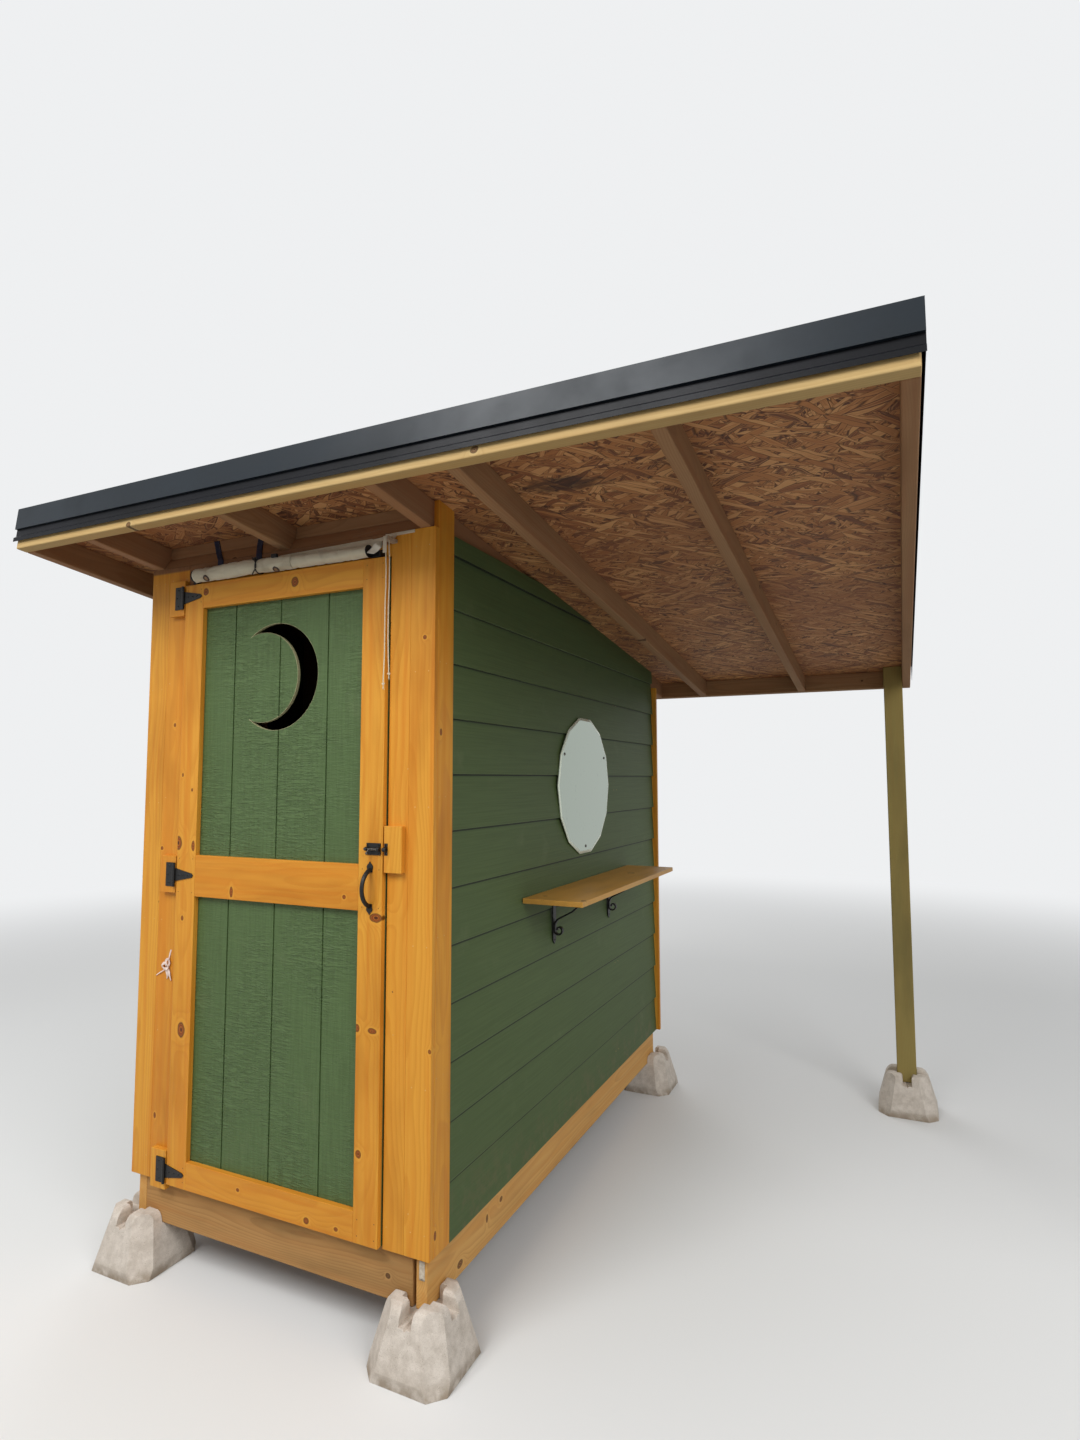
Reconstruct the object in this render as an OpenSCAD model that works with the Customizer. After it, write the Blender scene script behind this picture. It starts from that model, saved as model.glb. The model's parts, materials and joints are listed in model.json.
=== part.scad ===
// Small wooden outhouse on concrete deck blocks, with a lean-to roof carried past its right wall.
// The front looks towards -Y and +Z is up. Lengths are in millimetres.

/* [House] */
// Width of the house over its corner boards
house_w = 1236; // [1150:1:1500]
// Depth of the house from the front boards to the back boards
house_d = 2286; // [2100:1:3000]
// Width of the sawn framing lumber, on edge
stud_w = 89; // [64:1:100]
// Thickness of the sawn framing lumber
stud_t = 38; // [32:1:45]
// Distance from stud to stud
stud_spacing = 406; // [300:1:610]
// Thickness of the finishing boards
board_t = 19; // [15:1:22]
// Width of the finishing boards
board_w = 89; // [70:1:100]
// How far the back corner boards stand out past the siding
back_board_proud = 20; // [5:1:30]

/* [Siding] */
// Height of one course that shows
lap_h = 173.7; // [120:0.1:230]
// Thickness of a siding board
lap_t = 9.5; // [7:0.1:10.5]

/* [Base] */
// Height of a rim joist
rim_h = 184; // [140:1:235]
// How far the siding laps down over the rim
siding_lap = 36; // [10:1:60]
// Gap between the end of the front rim and the side rim at the right
rim_gap = 11; // [2:1:14]
// Thickness of the floor sheets
floor_t = 19; // [15:1:25]
// Side of a deck block at its foot
block_foot_w = 270; // [240:1:300]
// Side of a deck block at its top
block_top = 182; // [160:1:200]
// Height of a deck block
block_h = 190; // [170:1:220]
// Height of the upright foot of a deck block
block_foot_h = 32; // [20:1:60]
// Depth of the slots in a deck block
slot_depth = 45; // [30:1:60]
// Rounding along the top edges of a deck block
block_chamfer = 14; // [4:1:18]
// Bevel of a deck block's upright corners
block_bevel = 42; // [10:1:50]

/* [Roof] */
// Fall of the roof from front to back, in degrees
roof_pitch = 6.5; // [4:0.1:9]
// Overhang of the roof in front of the house
front_overhang = 318; // [200:1:450]
// Overhang of the roof behind the house
rear_overhang = 250; // [180:1:400]
// Overhang of the roof at the left
left_overhang = 298; // [200:1:450]
// Length of roof past the right wall
shelter_w = 1325; // [900:1:1700]
// Thickness of the roof sheathing
sheathing_t = 11; // [9:1:18]
// Distance from rib to rib of the roof sheets
rib_spacing = 229; // [180:1:305]
// Height of the ribs of the roof sheets
rib_h = 24; // [12:1:30]
// Thickness of the roofing and trim metal
metal_t = 1; // [0.8:0.1:1.5]
// Height of the face of the front metal trim
trim_face_h = 76; // [60:1:90]
// How far the front metal trim stands out from the fascia
trim_reach = 9; // [5:0.5:30]
// How far the front metal trim stands up past the ribs
trim_rise = 21; // [4:1:30]
// How far the drip edge comes down over the fascia
drip_drop = 64; // [40:1:75]
// Height of the lip of the drip edge
drip_lip_h = 14; // [8:1:20]

/* [Door] */
// Width of the door
door_w = 873; // [760:1:900]
// Height of the door
door_h = 2060; // [1850:1:2200]
// Height of the door's foot above the foot of the siding
door_lift = 6; // [4:1:15]
// Height of the head board over the door
head_h = 75; // [55:1:200]
// Gap along each side of the door
door_gap = 5; // [5:0.5:8]
// How far the framing reaches behind the door's edges, as its stop
door_stop = 13; // [8:1:25]
// Width of the board between the left corner board and the door
jamb_left_w = 101; // [95:1:120]
// Height of the middle rail
mid_rail_h = 140; // [100:1:160]
// Height of the middle rail above the foot of the door
mid_rail_z = 967; // [800:1:1050]
// Thickness of the grooved door panel
panel_t = 11; // [9:0.5:15]
// Distance from groove to groove of the door panel
groove_spacing = 203; // [150:1:240]
// Width of a groove
groove_w = 6; // [4:1:12]
// Radius of the outer edge of the moon
moon_r = 180; // [120:1:190]
// Radius of the inner edge of the moon
moon_inner_r = 153; // [100:1:160]
// How far the inner edge of the moon is set to the left
moon_shift = 57; // [50:1:80]
// Depth of the moon's centre below the top of the door
moon_drop = 349; // [300:1:420]
// How far the moon's centre is set left of the door's middle
moon_left = 22; // [0:1:40]

/* [Door hardware] */
// Height of a hinge plate
hinge_h = 82; // [70:1:100]
// Width of a hinge plate
hinge_plate_w = 36; // [28:1:45]
// Length of a hinge strap from the pin
strap_len = 90; // [75:1:110]
// Height of a hinge strap at the pin
strap_root_h = 46; // [30:1:50]
// Height of a hinge strap at its tip
strap_tip_h = 14; // [10:1:24]
// Outer radius of a hinge knuckle
knuckle_r = 5; // [4:0.5:6]
// Radius of a hinge pin
pin_r = 2.5; // [2:0.1:3]
// Thickness of the leaves and plates
leaf_t = 2.5; // [2:0.1:3]
// Width of the hinge packing blocks
hinge_block_w = 72; // [60:1:90]
// Height of the hinge packing blocks
hinge_block_h = 127; // [110:1:150]
// Height of the bolt above the foot of the door
bolt_z = 1156; // [1130:1:1300]
// Radius of the sliding bolt
bolt_r = 4; // [3:0.5:5]
// Travel of the sliding bolt
bolt_travel = 24; // [20:1:30]
// Length of the bolt's guide plate
bolt_plate_l = 52; // [46:1:60]
// Height of the bolt's guide plate
bolt_plate_h = 36; // [30:1:44]
// Width of the latch packing block
latch_block_w = 64; // [50:1:70]
// Height of the latch packing block
latch_block_h = 140; // [100:1:160]
// Height of the pull's middle above the foot of the door
pull_z = 1038; // [980:1:1060]
// Distance between the feet of the pull
pull_l = 112; // [95:1:140]
// How far the pull stands out
pull_out = 40; // [30:1:50]
// Radius of the pull's bar
pull_r = 6.5; // [4:0.5:7]

/* [Right wall] */
// Width across the mirror
mirror_d = 600; // [450:1:700]
// Thickness of the mirror
mirror_t = 6; // [4:0.5:8]
// Distance of the mirror's middle from the front of the house
mirror_y = 1215; // [900:1:1500]
// Height of the mirror's middle above the foot of the siding
mirror_z = 1345; // [1300:1:1450]
// Length of the shelf
shelf_l = 1190; // [900:1:1300]
// Depth of the shelf from the wall
shelf_d = 235; // [180:1:300]
// Distance of the shelf's near end from the front of the house
shelf_y = 600; // [300:1:800]
// Height of the shelf's top above the foot of the siding
shelf_z = 941; // [800:1:980]
// Distance of a shelf bracket from the end of the shelf
bracket_inset = 280; // [100:1:350]
// Height of a shelf bracket
bracket_h = 196; // [150:1:230]
// Reach of a shelf bracket
bracket_l = 190; // [150:1:220]
// Width of the bracket iron
iron_w = 28; // [14:1:34]
// Thickness of the bracket iron
iron_t = 4; // [3:0.5:5]
// Width of the scrolled brace
brace_w = 14; // [8:1:14]
// Thickness of the scrolled brace
brace_t = 6; // [3:0.5:7]
// Radius of the scroll of a brace
scroll_r = 16; // [14:1:20]

/* [Blind] */
// Length of the rolled blind
blind_l = 812; // [700:1:870]
// Thickness of the rolled blind
blind_d = 66; // [50:1:70]
// Width of a blind strap
strap_w = 26; // [18:1:34]
// Thickness of the pull cord
cord_d = 4; // [3:0.5:5]

/* [Hidden] */
$fn = 48;

// clearances, and the overrun of a cut past the face it opens
seat_gap = 0.3;
pocket_gap = 2;
over = 1;

// heights above the ground
seat_z = block_h - slot_depth;
siding_z = seat_z + rim_h - siding_lap;
wall_h = door_lift + door_h + door_gap + head_h;
floor_z = seat_z + rim_h;
plate_z = floor_z + floor_t;
stud_z = plate_z + stud_t;
under_z = siding_z + wall_h;
door_z = siding_z + door_lift;
moon_z = door_h - moon_drop;

// plan lines of the house, from its left front corner
frame_x0 = board_t;
frame_x1 = house_w - board_t;
frame_y0 = board_t;
frame_y1 = house_d - board_t;
jamb_x0 = board_w + jamb_left_w;
jamb_x1 = jamb_x0 + door_w + 2 * door_gap;
door_x0 = jamb_x0 + door_gap;
door_x1 = door_x0 + door_w;
stop_x0 = door_x0 + door_stop;
stop_x1 = door_x1 - door_stop;
panel_w = door_w - 2 * board_w;

// the roof in its own sloped frame: s runs back along the slope and n stands off it
roof_x0 = -left_overhang;
roof_x1 = house_w + shelter_w;
roof_s0 = -front_overhang / cos(roof_pitch);
roof_s1 = (house_d + rear_overhang) / cos(roof_pitch);
rafter_n = stud_w;
sheath_n = rafter_n + sheathing_t;
rib_top_n = sheath_n + metal_t + rib_h;
cover_top_n = rib_top_n + metal_t;
trim_top_n = cover_top_n + trim_rise;
trim_s0 = roof_s0 - trim_reach;
trim_cover_w = 90;
trim_lap_w = 30;
drip_foot_n = rafter_n - drip_drop;
drip_s0 = roof_s0 - seat_gap - metal_t;
rake_reach = 10;
rake_cover_w = 60;
rake_drop = 40;
panel_over = 30;
panel_s1 = roof_s1 + stud_t + panel_over;

post_w = stud_w;
post_x = roof_x1 - stud_t - post_w;
post_y = front_y(roof_s1, 0) - post_w;
block_reach = (block_foot_w - post_w) / 2;
slot_w = stud_t + 3;

// overall box of the roof and the post's block, which sets the origin of the part
trim_x0 = roof_x0 - rake_reach;
trim_x1 = roof_x1 + rake_reach;
box_x0 = trim_x0;
box_x1 = max(trim_x1, post_x + post_w + block_reach);
box_y0 = front_y(trim_s0, drip_foot_n);
box_y1 = max(front_y(panel_s1, cover_top_n), post_y + post_w + block_reach);

blocking_y = frame_y0 + 2;
hinge_x = jamb_x0 - 3;
hinge_y = -board_t - knuckle_r - seat_gap;
hinge_zs = [board_w / 2, mid_rail_z + mid_rail_h / 2, door_h - board_w / 2];
knuckle_gap = 0.5;
pin_gap = 0.25;
bolt_y = -board_t - leaf_t - bolt_r - 1;
bolt_gap = 0.4;
keeper_gap = 1;
guide_wall = 2;
guide_l = 8;
keeper_l = 12;
knob_r = 4.5;
knob_stem_r = 2.5;
knob_out = 16;
knob_turn = 50;
bolt_l = bolt_plate_l + 6;
bolt_tip_x = door_x1 - 5;
bolt_plate_x = bolt_tip_x - bolt_plate_l - 1;
knob_x = bolt_plate_x + guide_l + knob_stem_r + 2;
pull_x = door_x1 - board_w / 2;
pull_foot_t = 3;
shelf_top_z = siding_z + shelf_z;
blind_gap = 5;
blind_z = door_z + door_h + blind_gap + blind_d / 2;
blind_y = -blind_d / 2 - seat_gap;
blind_x0 = jamb_x0 + (jamb_x1 - jamb_x0 - blind_l) / 2;
strap_t = 1.2;
strap_xs = [blind_x0 + 0.077 * blind_l, blind_x0 + 0.35 * blind_l];

stain = "#c8802e";
stain_pale = "#d69a4e";
raw_pine = "#8a6b42";
treated = "#7d6640";
paint_green = "#46573a";
black_iron = "#1c1b1a";
concrete = "#a39c90";
char_metal = "#3b4246";

// y of a point of the sloped frame
function front_y(s, n) = s * cos(roof_pitch) + n * sin(roof_pitch);

// height of the rafters' undersides at a distance y from the front
function under_at(y) = under_z - y * tan(roof_pitch);

// height of whatever carries the rafters, and of the studs' heads under a plate
function seat_at(y) = under_at(y) - seat_gap;
function head_at(y) = seat_at(y) - stud_t - seat_gap;

// moves the house so that the origin is at the middle of the foot of its box
module place() {
    translate([-(box_x0 + box_x1) / 2, -(box_y0 + box_y1) / 2, 0]) children();
}

// a box between two corners
module span(a, b) {
    translate(a) cube(b - a);
}

// an outline of [y, z] points drawn out along X from x0 to x1
module along_x(x0, x1, outline) {
    translate([x0, 0, 0]) rotate([90, 0, 90]) linear_extrude(x1 - x0) polygon(outline);
}

// the sloped frame of the roof
module on_roof() {
    translate([0, 0, under_z]) rotate([-roof_pitch, 0, 0]) children();
}

// outline of one side of a deck block, wide at its foot and rounded at its top
module block_outline() {
    c = block_chamfer;
    half = [
        [block_foot_w / 2, 0], [block_foot_w / 2, block_foot_h], [block_top / 2 + c / 2, block_h - 1.6 * c],
        [block_top / 2, block_h - 0.8 * c], [block_top / 2 - 0.6 * c, block_h - 0.25 * c],
        [block_top / 2 - 1.5 * c, block_h]
    ];
    polygon(concat(half, [for (p = reversed(half)) [-p[0], p[1]]]));
}

// outline of a slot, with its mouth rounded outwards to the tops of the horns
module slot_outline() {
    c = block_chamfer;
    half = [
        [slot_w / 2, seat_z], [slot_w / 2, block_h - 0.8 * c], [slot_w / 2 + 0.2 * c, block_h - 0.35 * c],
        [slot_w / 2 + 0.6 * c, block_h], [slot_w / 2 + 0.6 * c, block_h + over]
    ];
    polygon(concat(half, [for (p = reversed(half)) [-p[0], p[1]]]));
}

// outline across the corners of a deck block, which bevels them
module corner_outline() {
    foot = (block_foot_w - block_bevel) / sqrt(2);
    top = (block_top - block_bevel) / sqrt(2);
    polygon([[-foot, -over], [foot, -over], [top, block_h + over], [-top, block_h + over]]);
}

// an outline drawn out right through a deck block, from side to side
module through_block(turn) {
    rotate([0, 0, turn]) translate([0, block_foot_w, 0]) rotate([90, 0, 0])
        linear_extrude(2 * block_foot_w) children();
}

// a slotted concrete deck block with bevelled corners, four horns and a square pocket between them
module deck_block(x, y) {
    pocket_w = stud_w + 2 * pocket_gap;
    notch = slot_w / 6;
    translate([x, y, 0]) difference() {
        intersection() {
            intersection_for(turn = [0, 90]) through_block(turn) block_outline();
            intersection_for(turn = [45, 135]) through_block(turn) corner_outline();
        }
        for (turn = [0, 90]) through_block(turn) slot_outline();
        for (turn = [0, 90, 180, 270]) rotate([0, 0, turn]) translate([0, block_foot_w, seat_z])
            rotate([90, 0, 0]) linear_extrude(block_foot_w - pocket_w / 3)
                polygon([[-notch, over], [0, -notch], [notch, over]]);
        translate([-pocket_w / 2, -pocket_w / 2, seat_z]) cube([pocket_w, pocket_w, slot_depth + over]);
    }
}

// blocks under the four corners, with the rims in their slots
module house_deck_blocks() {
    half = stud_t / 2;
    xs = [frame_x0 + half, frame_x1 - half];
    ys = [frame_y0 + half, frame_y1 - half];
    color(concrete) place() for (x = xs, y = ys) deck_block(x, y);
}

module post_deck_block() {
    color(concrete) place() deck_block(post_x + post_w / 2, post_y + post_w / 2);
}

// front and back rims between the side rims
module end_rims() {
    color(treated) place() for (y = [frame_y0, frame_y1 - stud_t])
        span([frame_x0 + stud_t, y, seat_z], [frame_x1 - stud_t - rim_gap, y + stud_t, floor_z]);
}

module side_rims() {
    color(stain_pale) place() for (x = [frame_x0, frame_x1 - stud_t])
        span([x, frame_y0, seat_z], [x + stud_t, frame_y1, floor_z]);
}

// joists between the side rims
module floor_joists() {
    count = floor((frame_y1 - frame_y0) / stud_spacing);
    pitch = (frame_y1 - frame_y0 - stud_t) / count;
    color(treated) place() for (i = [1 : count - 1]) translate([0, frame_y0 + i * pitch, 0])
        span([frame_x0 + stud_t, 0, seat_z], [frame_x1 - stud_t, stud_t, floor_z]);
}

module floor_sheets() {
    color("#b08a5a") place() span([frame_x0, frame_y0, floor_z], [frame_x1, frame_y1, plate_z]);
}

// plates on the floor, left open at the doorway
module bottom_plates() {
    inner_y0 = frame_y0 + stud_w;
    inner_y1 = frame_y1 - stud_w;
    color(raw_pine) place() {
        for (x = [frame_x0, frame_x1 - stud_w])
            span([x, inner_y0 + seat_gap, plate_z], [x + stud_w, inner_y1 - seat_gap, stud_z]);
        span([frame_x0, frame_y0, plate_z], [stop_x0, inner_y0, stud_z]);
        span([stop_x1, frame_y0, plate_z], [frame_x1, inner_y0, stud_z]);
        span([frame_x0, inner_y1, plate_z], [frame_x1, frame_y1, stud_z]);
    }
}

// one stud cut to the slope at its head
module stud(x, y, w, d) {
    along_x(x, x + w, [[y, stud_z], [y + d, stud_z], [y + d, head_at(y + d)], [y, head_at(y)]]);
}

// studs under the side plates, at both sides of the doorway and in the back wall
module wall_studs() {
    inner_y0 = frame_y0 + stud_w;
    inner_y1 = frame_y1 - stud_w;
    count = ceil((inner_y1 - inner_y0) / stud_spacing);
    pitch = (inner_y1 - inner_y0 - stud_t - 2 * seat_gap) / count;
    back_count = ceil((frame_x1 - frame_x0) / stud_spacing);
    back_pitch = (frame_x1 - frame_x0 - stud_t) / back_count;
    color(raw_pine) place() {
        for (x = [frame_x0, frame_x1 - stud_w], i = [0 : count])
            stud(x, inner_y0 + seat_gap + i * pitch, stud_w, stud_t);
        for (x = [frame_x0, stop_x0 - stud_t, stop_x1, frame_x1 - stud_t])
            stud(x, frame_y0, stud_t, stud_w);
        for (i = [0 : back_count])
            stud(frame_x0 + i * back_pitch, inner_y1, stud_t, stud_w);
    }
}

// plates under the rafters, laid to the slope of the roof, and the header over the doorway
module top_plates() {
    inner_y0 = frame_y0 + stud_w;
    inner_y1 = frame_y1 - stud_w;
    header_z = door_z + door_h - door_stop;
    color(raw_pine) place() {
        along_x(stop_x0, stop_x1, [
            [frame_y0, header_z], [inner_y0, header_z],
            [inner_y0, head_at(inner_y0)], [frame_y0, head_at(frame_y0)]
        ]);
        for (x = [frame_x0, frame_x1 - stud_w])
            sloped_plate(x, x + stud_w, inner_y0 + seat_gap, inner_y1 - seat_gap);
        sloped_plate(frame_x0, frame_x1, frame_y0, inner_y0);
        sloped_plate(frame_x0, frame_x1, inner_y1, frame_y1);
    }
}

module sloped_plate(x0, x1, y0, y1) {
    along_x(x0, x1, [
        [y0, seat_at(y0) - stud_t], [y1, seat_at(y1) - stud_t], [y1, seat_at(y1)], [y0, seat_at(y0)]
    ]);
}

// outline of lapped boards up to a height, flat at the back and stepped at the face
function lap_outline(h) = concat(
    [[seat_gap, 0]],
    [for (k = [0 : floor(h / lap_h)]) each [
        [2 * lap_t, k * lap_h],
        [lap_t + lap_t * max(0, 1 - (h - k * lap_h) / lap_h), min(h, (k + 1) * lap_h)]
    ]],
    [[seat_gap, h]]
);

// lapped siding on a side wall, cut to the slope of the roof
module side_siding() {
    y0 = board_t + board_w;
    y1 = frame_y1;
    h = wall_h;
    intersection() {
        translate([0, y1, siding_z]) rotate([90, 0, 0]) linear_extrude(y1 - y0) polygon(lap_outline(h));
        along_x(0, board_t + over, [
            [y0, siding_z], [y1, siding_z], [y1, siding_top(y1)], [y0, siding_top(y0)]
        ]);
    }
}

// the sheathing's underside at a distance y from the front
function siding_top(y) = under_at(y) + rafter_n / cos(roof_pitch) - seat_gap;

module left_siding() {
    color(paint_green) place() translate([frame_x0, 0, 0]) mirror([1, 0, 0]) side_siding();
}

module right_siding() {
    color(paint_green) place() translate([frame_x1, 0, 0]) side_siding();
}

module back_siding() {
    x0 = board_w - back_board_proud;
    color(paint_green) place() intersection() {
        translate([x0, frame_y1, siding_z]) rotate([90, 0, 90])
            linear_extrude(house_w - 2 * x0) polygon(lap_outline(wall_h));
        along_x(0, house_w, [
            [frame_y1, siding_z], [house_d + over, siding_z],
            [house_d + over, seat_at(house_d + over)], [frame_y1, seat_at(frame_y1)]
        ]);
    }
}

// boards on the front at both corners
module front_corner_boards() {
    color(stain) place() for (x = [0, house_w - board_w]) front_board(x, x + board_w, siding_z);
}

module front_board(x0, x1, z0) {
    along_x(x0, x1, [[0, z0], [board_t, z0], [board_t, seat_at(board_t)], [0, seat_at(0)]]);
}

// boards on the sides that meet the front corner boards
module side_corner_boards() {
    color(stain) place() for (x = [0, house_w - board_t])
        along_x(x, x + board_t, [
            [board_t, siding_z], [board_t + board_w, siding_z],
            [board_t + board_w, siding_top(board_t + board_w)], [board_t, siding_top(board_t)]
        ]);
}

// boards on the back that stand out past the siding
module back_corner_boards() {
    color(stain_pale) place() for (x = [-back_board_proud, house_w + back_board_proud - board_w])
        along_x(x, x + board_w, [
            [frame_y1, siding_z], [house_d, siding_z],
            [house_d, seat_at(house_d)], [frame_y1, seat_at(frame_y1)]
        ]);
}

// boards at both sides of the door and over it
module door_casing() {
    head_z = door_z + door_h + door_gap;
    color(stain) place() {
        front_board(board_w, jamb_x0, siding_z);
        front_board(jamb_x1, house_w - board_w, siding_z);
        front_board(jamb_x0 + seat_gap, jamb_x1 - seat_gap, head_z);
    }
}

// rafters over both side walls and between them, and one past the right wall on each side of its middle
rafter_xs = [
    frame_x0,
    (frame_x0 + frame_x1) / 2,
    frame_x1 - stud_t,
    frame_x1 + (roof_x1 - frame_x1) * 0.17,
    frame_x1 + (roof_x1 - frame_x1) * 0.58
];
module rafters() {
    color(raw_pine) place() on_roof() for (x = rafter_xs)
        span([x, roof_s0 + stud_t, 0], [x + stud_t, roof_s1, rafter_n]);
}

// short pieces between the rafters over the front and back walls, with a vent gap below
module wall_blocking() {
    color(raw_pine) place() on_roof() for (y = [blocking_y, frame_y1 - stud_t - 12], i = [0, 1])
        span([rafter_xs[i] + stud_t, y / cos(roof_pitch), rafter_n / 2],
            [rafter_xs[i + 1], y / cos(roof_pitch) + stud_t, rafter_n]);
}

module barge_rafters() {
    color(raw_pine) place() on_roof() for (x = [roof_x0, roof_x1 - stud_t])
        span([x, roof_s0 + stud_t, 0], [x + stud_t, roof_s1, rafter_n]);
}

module front_fascia() {
    color("#c9ad7c") place() on_roof()
        span([roof_x0, roof_s0, 0], [roof_x1, roof_s0 + stud_t, rafter_n]);
}

module rear_fascia() {
    color(raw_pine) place() on_roof() span([roof_x0, roof_s1, 0], [roof_x1, roof_s1 + stud_t, rafter_n]);
}

module roof_sheathing() {
    color("#7a5238") place() on_roof()
        span([roof_x0, roof_s0, rafter_n], [roof_x1, roof_s1 + stud_t, sheath_n]);
}

// ribs across the roof sheets, with one at each edge
rib_base = 40;
rib_crest = 18;
rib_edge = 30;
roof_w = roof_x1 - roof_x0;
rib_count = round((roof_w - 2 * rib_edge) / rib_spacing);
rib_pitch = (roof_w - 2 * rib_edge) / rib_count;

// the line of the ribs at a height n, wider by a margin at each flank
function rib_line(n, margin) = [for (i = [0 : rib_count]) let (x = rib_edge + i * rib_pitch) each [
    [x - rib_base / 2 - margin, n],
    [x - rib_crest / 2 - margin, n + rib_h],
    [x + rib_crest / 2 + margin, n + rib_h],
    [x + rib_base / 2 + margin, n]
]];
function reversed(points) = [for (i = [len(points) - 1 : -1 : 0]) points[i]];

module roof_panels() {
    under = rib_line(0, 0);
    over = reversed(rib_line(metal_t, metal_t / 2));
    color(char_metal) place() on_roof() translate([roof_x0, panel_s1, sheath_n]) rotate([90, 0, 0])
        linear_extrude(panel_s1 - roof_s0)
            polygon(concat([[0, 0]], under, [[roof_w, 0], [roof_w, metal_t]], over, [[0, metal_t]]));
}

// bent metal along the high edge, down to the ribs behind and hemmed back to the drip edge below
module front_roof_trim() {
    foot_n = trim_top_n - trim_face_h;
    hem_s = drip_s0 - seat_gap;
    lap_s = roof_s0 + trim_cover_w;
    color(char_metal) place() on_roof() along_x(trim_x0, trim_x1, [
        [trim_s0, foot_n], [hem_s, foot_n], [hem_s, foot_n + metal_t],
        [trim_s0 + metal_t, foot_n + metal_t], [trim_s0 + metal_t, trim_top_n - metal_t],
        [lap_s - trim_lap_w, rib_top_n], [lap_s, rib_top_n], [lap_s, cover_top_n],
        [lap_s - trim_lap_w, cover_top_n], [trim_s0, trim_top_n]
    ]);
}

// drip edge from the sheathing down over the fascia, kicked out to a lip
module drip_edge() {
    lip_n = drip_foot_n + drip_lip_h;
    kick = drip_s0 - trim_s0;
    fold = metal_t * tan(22.5);
    color(char_metal) place() on_roof() along_x(trim_x0, trim_x1, [
        [drip_s0, sheath_n - metal_t], [drip_s0, lip_n + kick], [trim_s0, lip_n], [trim_s0, drip_foot_n],
        [trim_s0 + metal_t, drip_foot_n], [trim_s0 + metal_t, lip_n - fold],
        [drip_s0 + metal_t, lip_n + kick - fold], [drip_s0 + metal_t, sheath_n - metal_t]
    ]);
}

// bent metal down both sloped edges, over the top of the barge rafters
module rake_trims() {
    color(char_metal) place() on_roof() {
        rake_trim();
        translate([roof_x0 + roof_x1, 0, 0]) mirror([1, 0, 0]) rake_trim();
    }
}

module rake_trim() {
    x0 = roof_x1 - rake_cover_w;
    s0 = roof_s0 + trim_cover_w + over;
    foot_n = rafter_n - rake_drop;
    span([trim_x1 - metal_t, roof_s0, foot_n], [trim_x1, s0 + over, rib_top_n - over]);
    translate([0, panel_s1, 0]) rotate([90, 0, 0]) linear_extrude(panel_s1 - s0) polygon([
        [trim_x1, foot_n], [trim_x1, cover_top_n], [x0, cover_top_n], [x0, rib_top_n],
        [trim_x1 - metal_t, rib_top_n], [trim_x1 - metal_t, foot_n]
    ]);
}

// the one free post, in the back corner of the shelter
module roof_post() {
    color("#7c6c3e") place() along_x(post_x, post_x + post_w, [
        [post_y, seat_z], [post_y + post_w, seat_z],
        [post_y + post_w, siding_top(post_y + post_w)], [post_y, siding_top(post_y)]
    ]);
}

// grooved panel of the door with the moon cut through it
module door_panel() {
    first = (door_w - 2 * groove_spacing) / 2 - 4;
    moon_x = door_w / 2 - moon_left;
    color(paint_green) place() translate([door_x0, 0, door_z]) difference() {
        cube([door_w, panel_t, door_h]);
        for (i = [0 : 2])
            translate([first + i * groove_spacing - groove_w / 2, -over, -over])
                cube([groove_w, over + panel_t / 3, door_h + 2 * over]);
        translate([moon_x, panel_t + over, moon_z]) rotate([90, 0, 0])
            linear_extrude(panel_t + 2 * over) moon();
    }
}

module moon() {
    difference() {
        circle(moon_r, $fn = 96);
        translate([-moon_shift, 0]) circle(moon_inner_r, $fn = 96);
    }
}

module door_stiles() {
    color(stain) place() translate([door_x0, -board_t, door_z])
        for (x = [0, door_w - board_w]) translate([x, 0, 0]) cube([board_w, board_t, door_h]);
}

module door_rails() {
    color(stain) place() translate([door_x0 + board_w, -board_t, door_z]) {
        cube([panel_w, board_t, board_w]);
        translate([0, 0, mid_rail_z]) cube([panel_w, board_t, mid_rail_h]);
        translate([0, 0, door_h - board_w]) cube([panel_w, board_t, board_w]);
    }
}

// blocks that bring the hinge plates out to the face of the door
module hinge_blocks() {
    color(stain) place() for (z = hinge_zs)
        translate([jamb_x0 - hinge_block_w, -board_t, door_z + z - hinge_block_h / 2])
            cube([hinge_block_w, board_t, hinge_block_h]);
}

// plates on the blocks, with the outer knuckles and the pins
module hinge_plates() {
    notch_h = strap_root_h + 2 * knuckle_gap;
    color(black_iron) place() for (z = hinge_zs) translate([hinge_x, hinge_y, door_z + z]) {
        difference() {
            union() {
                translate([-hinge_plate_w - knuckle_r, knuckle_r + seat_gap - leaf_t, -hinge_h / 2])
                    cube([hinge_plate_w + knuckle_r, leaf_t, hinge_h]);
                translate([0, 0, -hinge_h / 2]) cylinder(r = knuckle_r, h = hinge_h);
            }
            translate([0, 0, -notch_h / 2]) cylinder(r = knuckle_r + over, h = notch_h);
        }
        translate([0, 0, -hinge_h / 2]) cylinder(r = pin_r, h = hinge_h);
    }
}

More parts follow.
